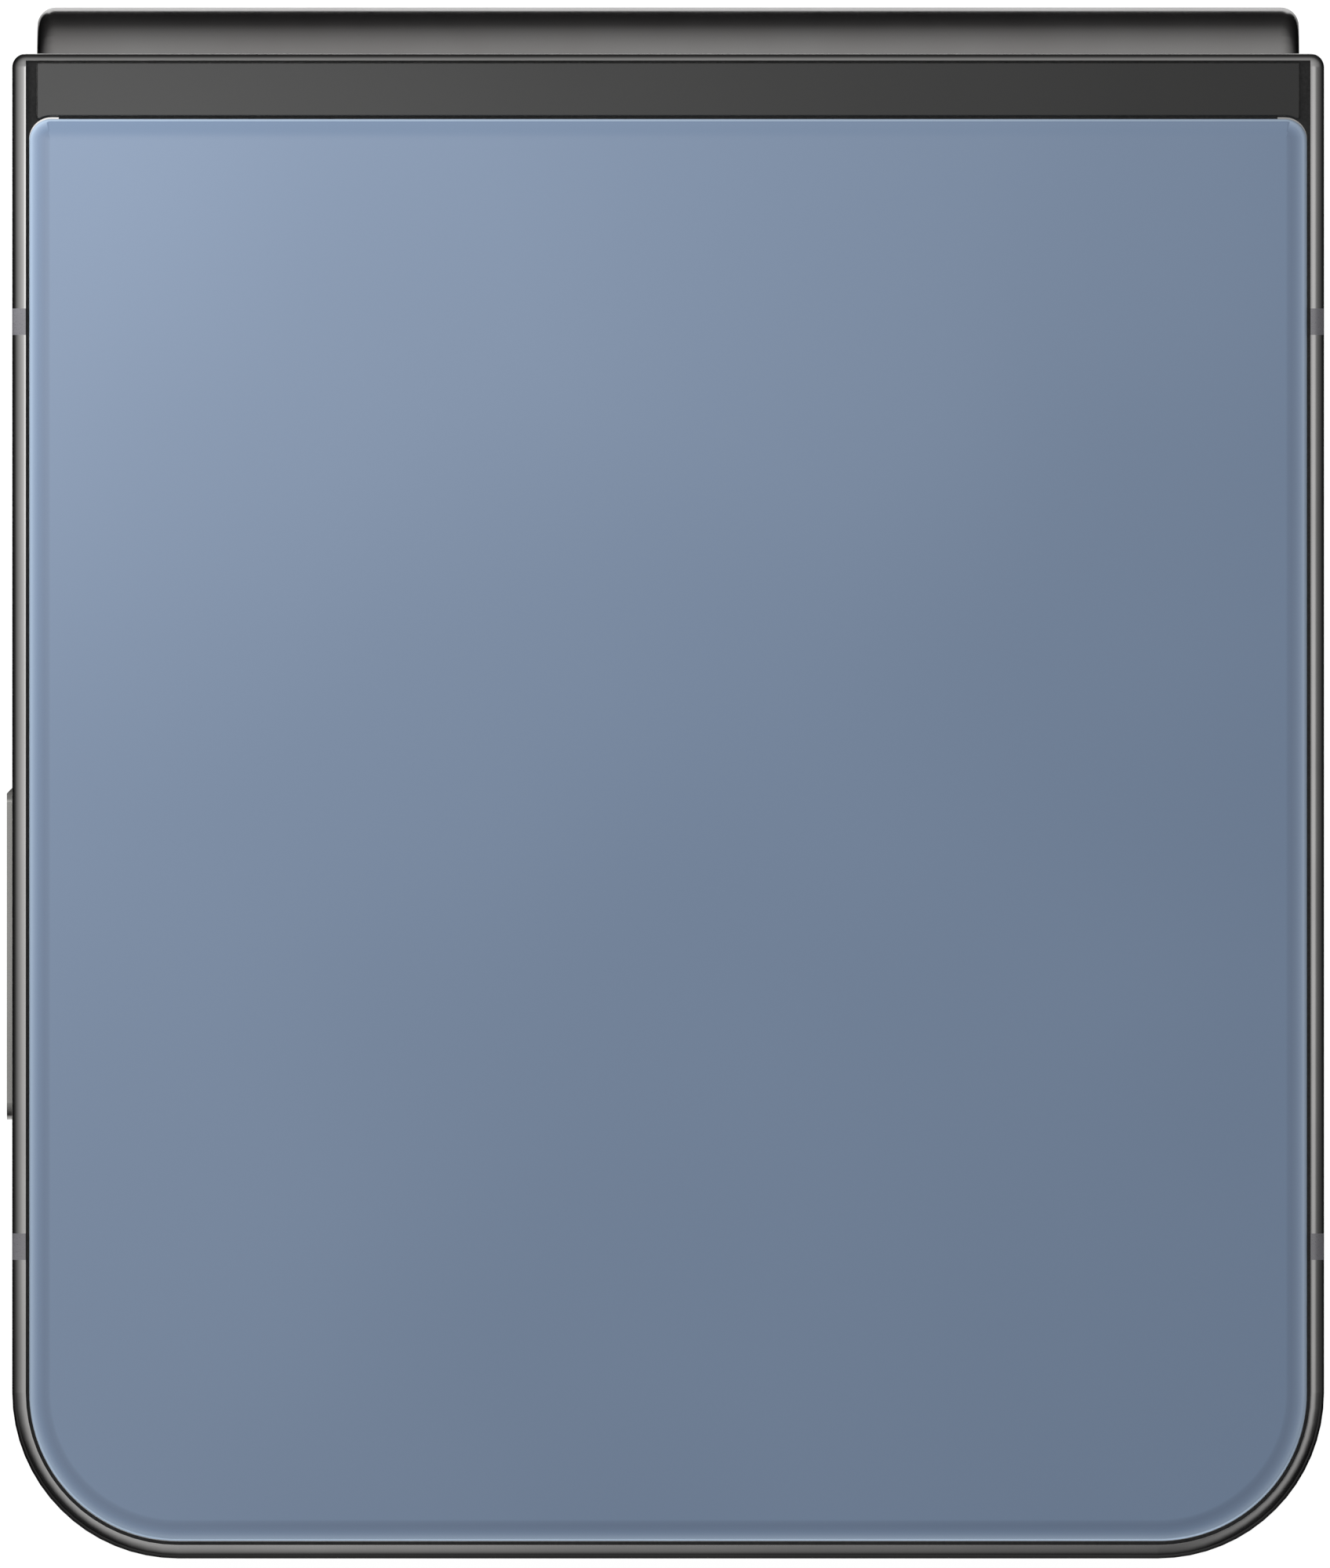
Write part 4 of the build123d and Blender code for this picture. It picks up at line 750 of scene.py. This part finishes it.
# ------------------------------------------------------------------ cameras
# A baffle's steps, as (radius, z) round its camera's axis
BAFFLE = ((4.12, 0.70), (4.12, 1.60), (2.1, 1.60), (2.1, 1.50), (2.5, 1.50), (2.5, 1.30),
          (2.95, 1.30), (2.95, 1.10), (3.4, 1.10), (3.4, 0.90), (3.85, 0.90), (3.85, 0.70))
# Each lens: its axis, body, radius, z at its flat back and at its edge, and its dome's bulge in z
LENSES = {
    "main_lens": ((MAIN_CAMERA_X, CAMERA_Y), "focus_stage", 1.95, 2.58, 2.50, -0.42),
    "wide_lens": ((WIDE_CAMERA_X, CAMERA_Y), "upper_half", 1.95, 2.28, 2.20, -0.42),
    "front_lens": ((0, FRONT_CAMERA_Y), "upper_half", 0.75, 7.84, 7.86, 0.03),
}


def camera_glass():
    """Stepped light baffles behind both camera windows, and the domed lenses they frame."""
    finish = lens_element("violet-coated lens element")
    for name, x in (("main_baffle", MAIN_CAMERA_X), ("wide_baffle", WIDE_CAMERA_X)):
        dress(turned(name, BAFFLE, (x, CAMERA_Y)), "upper_half", "camera_body")
    for name, (axis, body, radius, back, edge, bulge) in LENSES.items():
        steps = 14 if radius > 1 else 8
        angles = [math.pi / 2 * k / steps for k in range(steps)]
        dome = [(radius * math.cos(a), edge + bulge * math.sin(a)) for a in angles]
        profile = [(0.0, back), (radius, back)] + dome + [(0.0, edge + bulge)]
        dress(turned(name, profile, axis), body, "lens_glass", finish)


# ------------------------------------------------------------------ charging port
TONGUE_FACE_Z, TONGUE_THICKNESS = 13.0, 0.7
CONTACTS, CONTACT_PITCH, CONTACT_RISE, CONTACT_BEVEL = 12, 0.5, 0.03, 0.012
FIRST_CONTACT = ((-2.9, -41.2), (-2.6, -37.7))


def port_contacts():
    """Gold-plated contacts, twelve on each face of the charging port's tongue."""
    top_z = TONGUE_FACE_Z + CONTACT_RISE
    low, high = FIRST_CONTACT
    pad = slab("port_contacts", Vector((*low, TONGUE_FACE_Z)) * MM, Vector((*high, top_z)) * MM)
    pick(pad, "EDGE", lambda e: all(v.co.z > (top_z - 0.01) * MM for v in e.verts))
    bpy.ops.mesh.bevel(offset=CONTACT_BEVEL * MM, segments=2, affect="EDGES")
    bpy.ops.object.mode_set(mode="OBJECT")
    for count, offset in ((CONTACTS, (CONTACT_PITCH * MM, 0, 0)),
                          (2, (0, 0, -(TONGUE_THICKNESS + CONTACT_RISE) * MM))):
        bpy.ops.object.modifier_add(type="ARRAY")
        rows = pad.modifiers[-1]
        rows.count, rows.use_relative_offset, rows.use_constant_offset = count, False, True
        rows.constant_offset_displace = offset
        bpy.ops.object.modifier_apply(modifier=rows.name)
    finish_mesh(pad, weighted=False)
    gold = worked_steel("gold-plated contact", "C99B3F", "E0B65C", 0.22, 0.2, (1, 6, 1), 0.001)
    return dress(pad, "lower_half", "port_steel", gold)


rolled_glass()
for half_name, one_half in HALVES.items():
    hinge_strip(half_name + "_hinge_strip", one_half)
    edge_seal_and_shade(half_name + "_edge_seal_and_shade", one_half)
    strip_bead_and_shade(half_name + "_strip_bead_and_shade", one_half)
inner_screens()
camera_glass()
port_contacts()


# ------------------------------------------------------------------ stage
def unlit_paths(tree):
    """1 for the rays that show a background: the camera's, reflected and transmitted ones."""
    path = add(tree, "ShaderNodeLightPath")
    seen = add(tree, "ShaderNodeMath", {0: path.outputs["Is Camera Ray"],
                                        1: path.outputs["Is Glossy Ray"]}, operation="MAXIMUM")
    return add(tree, "ShaderNodeMath", {0: seen.outputs[0],
                                        1: path.outputs["Is Transmission Ray"]},
               operation="MAXIMUM").outputs[0]


FLOOR_SIZE, FLOOR_Z = 12, -0.00005
FLOOR_GLOW, FLOOR_SHARE = 1.13, 0.8   # how bright it shows by itself, and its share in that


def white_floor():
    """A pale floor that shows white by itself and keeps a soft contact shadow."""
    bpy.ops.object.select_all(action="DESELECT")
    bpy.ops.mesh.primitive_plane_add(size=FLOOR_SIZE, location=(0, 0, FLOOR_Z))
    floor = bpy.context.object
    floor.name = "studio_floor"
    paint = bpy.data.materials.new("white studio floor")
    paint.use_nodes = True
    tree = paint.node_tree
    tree.nodes.clear()
    chalk = add(tree, "ShaderNodeBsdfDiffuse", values={"Color": hue("F4F4F4")})
    glow = add(tree, "ShaderNodeEmission",
               values={"Color": (1, 1, 1, 1), "Strength": FLOOR_GLOW})
    share = add(tree, "ShaderNodeMath", {0: unlit_paths(tree)}, {1: FLOOR_SHARE},
                operation="MULTIPLY")
    mixed = add(tree, "ShaderNodeMixShader", {0: share.outputs[0], 1: chalk.outputs[0],
                                              2: glow.outputs[0]})
    add(tree, "ShaderNodeOutputMaterial", {0: mixed.outputs[0]})
    floor.data.materials.append(paint)


LOW_LIGHT, HIGH_LIGHT = 0.08, 1.20   # the surround's brightness level with the phone and above it


def soft_dome():
    """A surround that is white to look at, and lights the phone brightest from above."""
    world = bpy.data.worlds.new("soft dome")
    world.use_nodes = True
    bpy.context.scene.world = world
    tree = world.node_tree
    tree.nodes.clear()
    way = add(tree, "ShaderNodeTexCoord").outputs["Generated"]
    height = add(tree, "ShaderNodeSeparateXYZ", {0: way}).outputs[2]
    level = add(tree, "ShaderNodeMapRange", {"Value": height},
                {"From Min": 0.0, "From Max": 1.0, "To Min": LOW_LIGHT, "To Max": HIGH_LIGHT})
    dome = add(tree, "ShaderNodeBackground", {"Strength": level.outputs[0]},
               {"Color": (1, 1, 1, 1)})
    white = add(tree, "ShaderNodeBackground", values={"Color": (1, 1, 1, 1), "Strength": 1.0})
    mixed = add(tree, "ShaderNodeMixShader", {0: unlit_paths(tree), 1: dome.outputs[0],
                                              2: white.outputs[0]})
    add(tree, "ShaderNodeOutputWorld", {0: mixed.outputs[0]})


def studio_piece(name, finish):
    """Marks the selected piece as one that only reflections see, and gives it its finish."""
    piece = bpy.context.object
    piece.name = name
    piece.data.materials.append(finish)
    piece.visible_camera = piece.visible_diffuse = piece.visible_shadow = False
    piece.visible_transmission = False


TENT_RADIUS = 0.25
# The tent's brightness goes by the place on it, as shares of its radius: from left to right, and
# times ALONG from the far end to the hinge's. Beyond HINGE_FROM it turns to HINGE_SIDE instead.
ACROSS = ((-1.0, 0.70), (-0.72, 0.75), (-0.55, 0.82), (-0.34, 0.88), (-0.144, 0.95), (0.0, 0.42),
          (0.144, 0.14), (0.30, 0.70), (0.44, 1.00), (0.62, 0.90), (0.76, 0.30), (1.0, 0.10))
ALONG = ((-1.0, 0.28), (-0.97, 0.29), (-0.93, 0.46), (-0.88, 0.64), (-0.81, 0.68), (-0.5, 0.66),
         (-0.20, 0.70), (0.0, 1.0), (1.0, 1.0))
HINGE_SIDE, HINGE_FROM, HINGE_TO = 0.45, 0.15, 0.34
HINGE_LIFT = 0.45         # what it gains towards the hinge's end
FOOT_LEVEL = 0.11         # what it keeps at the floor, where the rest has faded with height
CORNER_FROM, CORNER_TO, CORNER_LEVEL = 0.05, 0.36, 0.08   # how it darkens in its far corners
# Its window adds up to ROOF_LEVEL, and fades in over these heights on it.
ROOF_FROM, ROOF_TO, ROOF_LEVEL = 0.8, 0.95, 1.25
WINDOW_ACROSS = ((-1.0, 0.0), (-0.38, 0.0), (-0.22, 1.0), (-0.144, 1.0), (0.0, 0.55), (0.144, 0.25),
                 (0.26, 0.0), (1.0, 0.0))
WINDOW_ALONG = ((-1.0, 0.0), (-0.12, 0.0), (0.0, 0.14), (0.10, 0.85), (0.16, 1.0), (0.19, 0.85),
                (0.27, 0.0), (1.0, 0.0))


def levels(tree, place, stops):
    """A brightness that runs through the stops as a place between -1 and 1 goes by them."""
    share = add(tree, "ShaderNodeMapRange", {"Value": place}, {"From Min": -1.0, "From Max": 1.0})
    return ramp(tree, share.outputs[0],
                [((where + 1) / 2, (level, level, level, 1)) for where, level in stops])


def light_tent():
    """A tent for the metal and the gloss to reflect, brightest on the left.

    It has a soft light over the right rail, a window in its roof, and little light low down and
    towards the far corners.
    """
    bpy.ops.object.select_all(action="DESELECT")
    bpy.ops.mesh.primitive_uv_sphere_add(segments=64, ring_count=32, radius=TENT_RADIUS)
    cloth = bpy.data.materials.new("tent cloth")
    cloth.use_nodes = True
    tree = cloth.node_tree
    tree.nodes.clear()
    place = add(tree, "ShaderNodeVectorMath",
                {0: add(tree, "ShaderNodeTexCoord").outputs["Object"]}, operation="SCALE")
    place.inputs["Scale"].default_value = 1 / TENT_RADIUS
    x, y, z = add(tree, "ShaderNodeSeparateXYZ", {0: place.outputs[0]}).outputs
    lift = add(tree, "ShaderNodeMapRange", {"Value": y}, {"To Max": HINGE_LIFT})
    beyond = add(tree, "ShaderNodeMapRange", {"Value": y},
                 {"From Min": HINGE_FROM, "From Max": HINGE_TO})
    even = add(tree, "ShaderNodeMix", {0: beyond.outputs[0], 2: levels(tree, x, ACROSS)},
               {3: HINGE_SIDE})
    both = add(tree, "ShaderNodeMath", {0: even.outputs[0], 1: lift.outputs[0]})
    light = add(tree, "ShaderNodeMath", {0: both.outputs[0], 1: z}, {2: FOOT_LEVEL},
                operation="MULTIPLY_ADD")
    dimmed = add(tree, "ShaderNodeMath", {0: light.outputs[0], 1: levels(tree, y, ALONG)},
                 operation="MULTIPLY")
    side = add(tree, "ShaderNodeMath", {0: x}, operation="ABSOLUTE")
    down = add(tree, "ShaderNodeMapRange", {"Value": y}, {"From Max": -1.0, "To Max": 1.0})
    corner = add(tree, "ShaderNodeMath", {0: side.outputs[0], 1: down.outputs[0]},
                 operation="MULTIPLY")
    shade = add(tree, "ShaderNodeMapRange", {"Value": corner.outputs[0]},
                {"From Min": CORNER_FROM, "From Max": CORNER_TO, "To Min": 1.0,
                 "To Max": CORNER_LEVEL})
    shaded = add(tree, "ShaderNodeMath", {0: dimmed.outputs[0], 1: shade.outputs[0]},
                 operation="MULTIPLY")
    window = add(tree, "ShaderNodeMath", {0: levels(tree, x, WINDOW_ACROSS),
                                          1: levels(tree, y, WINDOW_ALONG)}, operation="MULTIPLY")
    roof = add(tree, "ShaderNodeMapRange", {"Value": z},
               {"From Min": ROOF_FROM, "From Max": ROOF_TO, "To Max": ROOF_LEVEL})
    pane = add(tree, "ShaderNodeMath", {0: window.outputs[0], 1: roof.outputs[0]},
               operation="MULTIPLY")
    total = add(tree, "ShaderNodeMath", {0: shaded.outputs[0], 1: pane.outputs[0]})
    glow = add(tree, "ShaderNodeEmission", {"Strength": total.outputs[0]},
               {"Color": (1, 1, 1, 1)})
    add(tree, "ShaderNodeOutputMaterial", {0: glow.outputs[0]})
    cloth.cycles.emission_sampling = "NONE"
    studio_piece("light_tent", cloth)


CARD_SIZE, CARD_Z = 4, 0.0001
CARD_HOLE = (0.0375, 0.0475)   # half its hole's width and length
CARD_SHIFT = 0.0035            # of the hole towards the hinge
CARD_BLACK = (0.050, 0.0425)   # how far out it stays black across and along
# Its light then rises towards CARD_LEVEL, and is half of that after CARD_SOFTNESS more.
CARD_LEVEL, CARD_SOFTNESS = 0.125, 0.055


def dark_card():
    """A dark card round the phone that only reflections see, to draw its edges.

    It is black beside the phone. Further out it glows by itself, painted light that rises to the
    tent's low level.
    """
    bpy.ops.object.select_all(action="DESELECT")
    bpy.ops.mesh.primitive_plane_add(size=CARD_SIZE, location=(0, 0, CARD_Z))
    card = bpy.context.object
    only(card)
    bpy.ops.object.mode_set(mode="EDIT")
    bpy.ops.mesh.select_all(action="SELECT")
    bpy.ops.mesh.inset(thickness=CARD_SIZE / 2 - 1)
    bpy.ops.transform.resize(value=(*CARD_HOLE, 1))
    bpy.ops.transform.translate(value=(0, CARD_SHIFT, 0))
    bpy.ops.mesh.delete(type="FACE")
    bpy.ops.object.mode_set(mode="OBJECT")
    black = bpy.data.materials.new("dark card")
    black.use_nodes = True
    tree = black.node_tree
    tree.nodes.clear()
    place = add(tree, "ShaderNodeTexCoord").outputs["Object"]
    size = add(tree, "ShaderNodeVectorMath", {0: place}, operation="ABSOLUTE")
    beyond = add(tree, "ShaderNodeVectorMath", {0: size.outputs[0]},
                 {1: (*CARD_BLACK, 0)}, operation="SUBTRACT")
    x, y = add(tree, "ShaderNodeSeparateXYZ", {0: beyond.outputs[0]}).outputs[:2]
    away = add(tree, "ShaderNodeMath", {0: x, 1: y}, operation="MAXIMUM")
    far = add(tree, "ShaderNodeMath", {0: away.outputs[0]}, {1: 0.0}, operation="MAXIMUM")
    more = add(tree, "ShaderNodeMath", {0: far.outputs[0]}, {1: CARD_SOFTNESS})
    share = add(tree, "ShaderNodeMath", {0: far.outputs[0], 1: more.outputs[0]}, operation="DIVIDE")
    level = add(tree, "ShaderNodeMath", {0: share.outputs[0]}, {1: CARD_LEVEL},
                operation="MULTIPLY")
    glow = add(tree, "ShaderNodeEmission", {"Strength": level.outputs[0]}, {"Color": (1, 1, 1, 1)})
    add(tree, "ShaderNodeOutputMaterial", {0: glow.outputs[0]})
    black.cycles.emission_sampling = "NONE"
    studio_piece("dark_card", black)


LAMP_PLACE, LAMP_SIZE, LAMP_POWER = (-0.131, 0.120, 0.126), 0.07, 0.65


def key_lamp():
    """A soft box up and to the left, close enough that its light falls off over the phone."""
    box = bpy.data.lights.new("soft box", "AREA")
    box.shape, box.size, box.energy = "SQUARE", LAMP_SIZE, LAMP_POWER
    lamp = bpy.data.objects.new("soft box", box)
    lamp.location = LAMP_PLACE
    lamp.visible_camera = lamp.visible_glossy = False
    bpy.context.scene.collection.objects.link(lamp)


# The camera's lengths are in millimetres. From VIEW_DISTANCE above the glass, a lens of 1400
# shows VIEW_HEIGHT of it.
VIEW_X, VIEW_Y, VIEW_HEIGHT = -0.17, -0.09, 86.0
SENSOR, LENS = 36, 1401
VIEW_DISTANCE = VIEW_HEIGHT * 1400 / SENSOR


def camera():
    """Straight down on the back glass through a very long lens."""
    lens = bpy.data.cameras.new("camera")
    lens.sensor_fit, lens.sensor_height, lens.sensor_width = "VERTICAL", SENSOR, SENSOR
    lens.lens, lens.clip_end = LENS, 50
    holder = bpy.data.objects.new("camera", lens)
    holder.location = Vector((VIEW_X, VIEW_Y, GLASS_TOP_Z + VIEW_DISTANCE)) * MM
    bpy.context.scene.collection.objects.link(holder)
    bpy.context.scene.camera = holder


white_floor()
soft_dome()
light_tent()
dark_card()
key_lamp()
camera()
bpy.context.scene.view_settings.view_transform = "Standard"
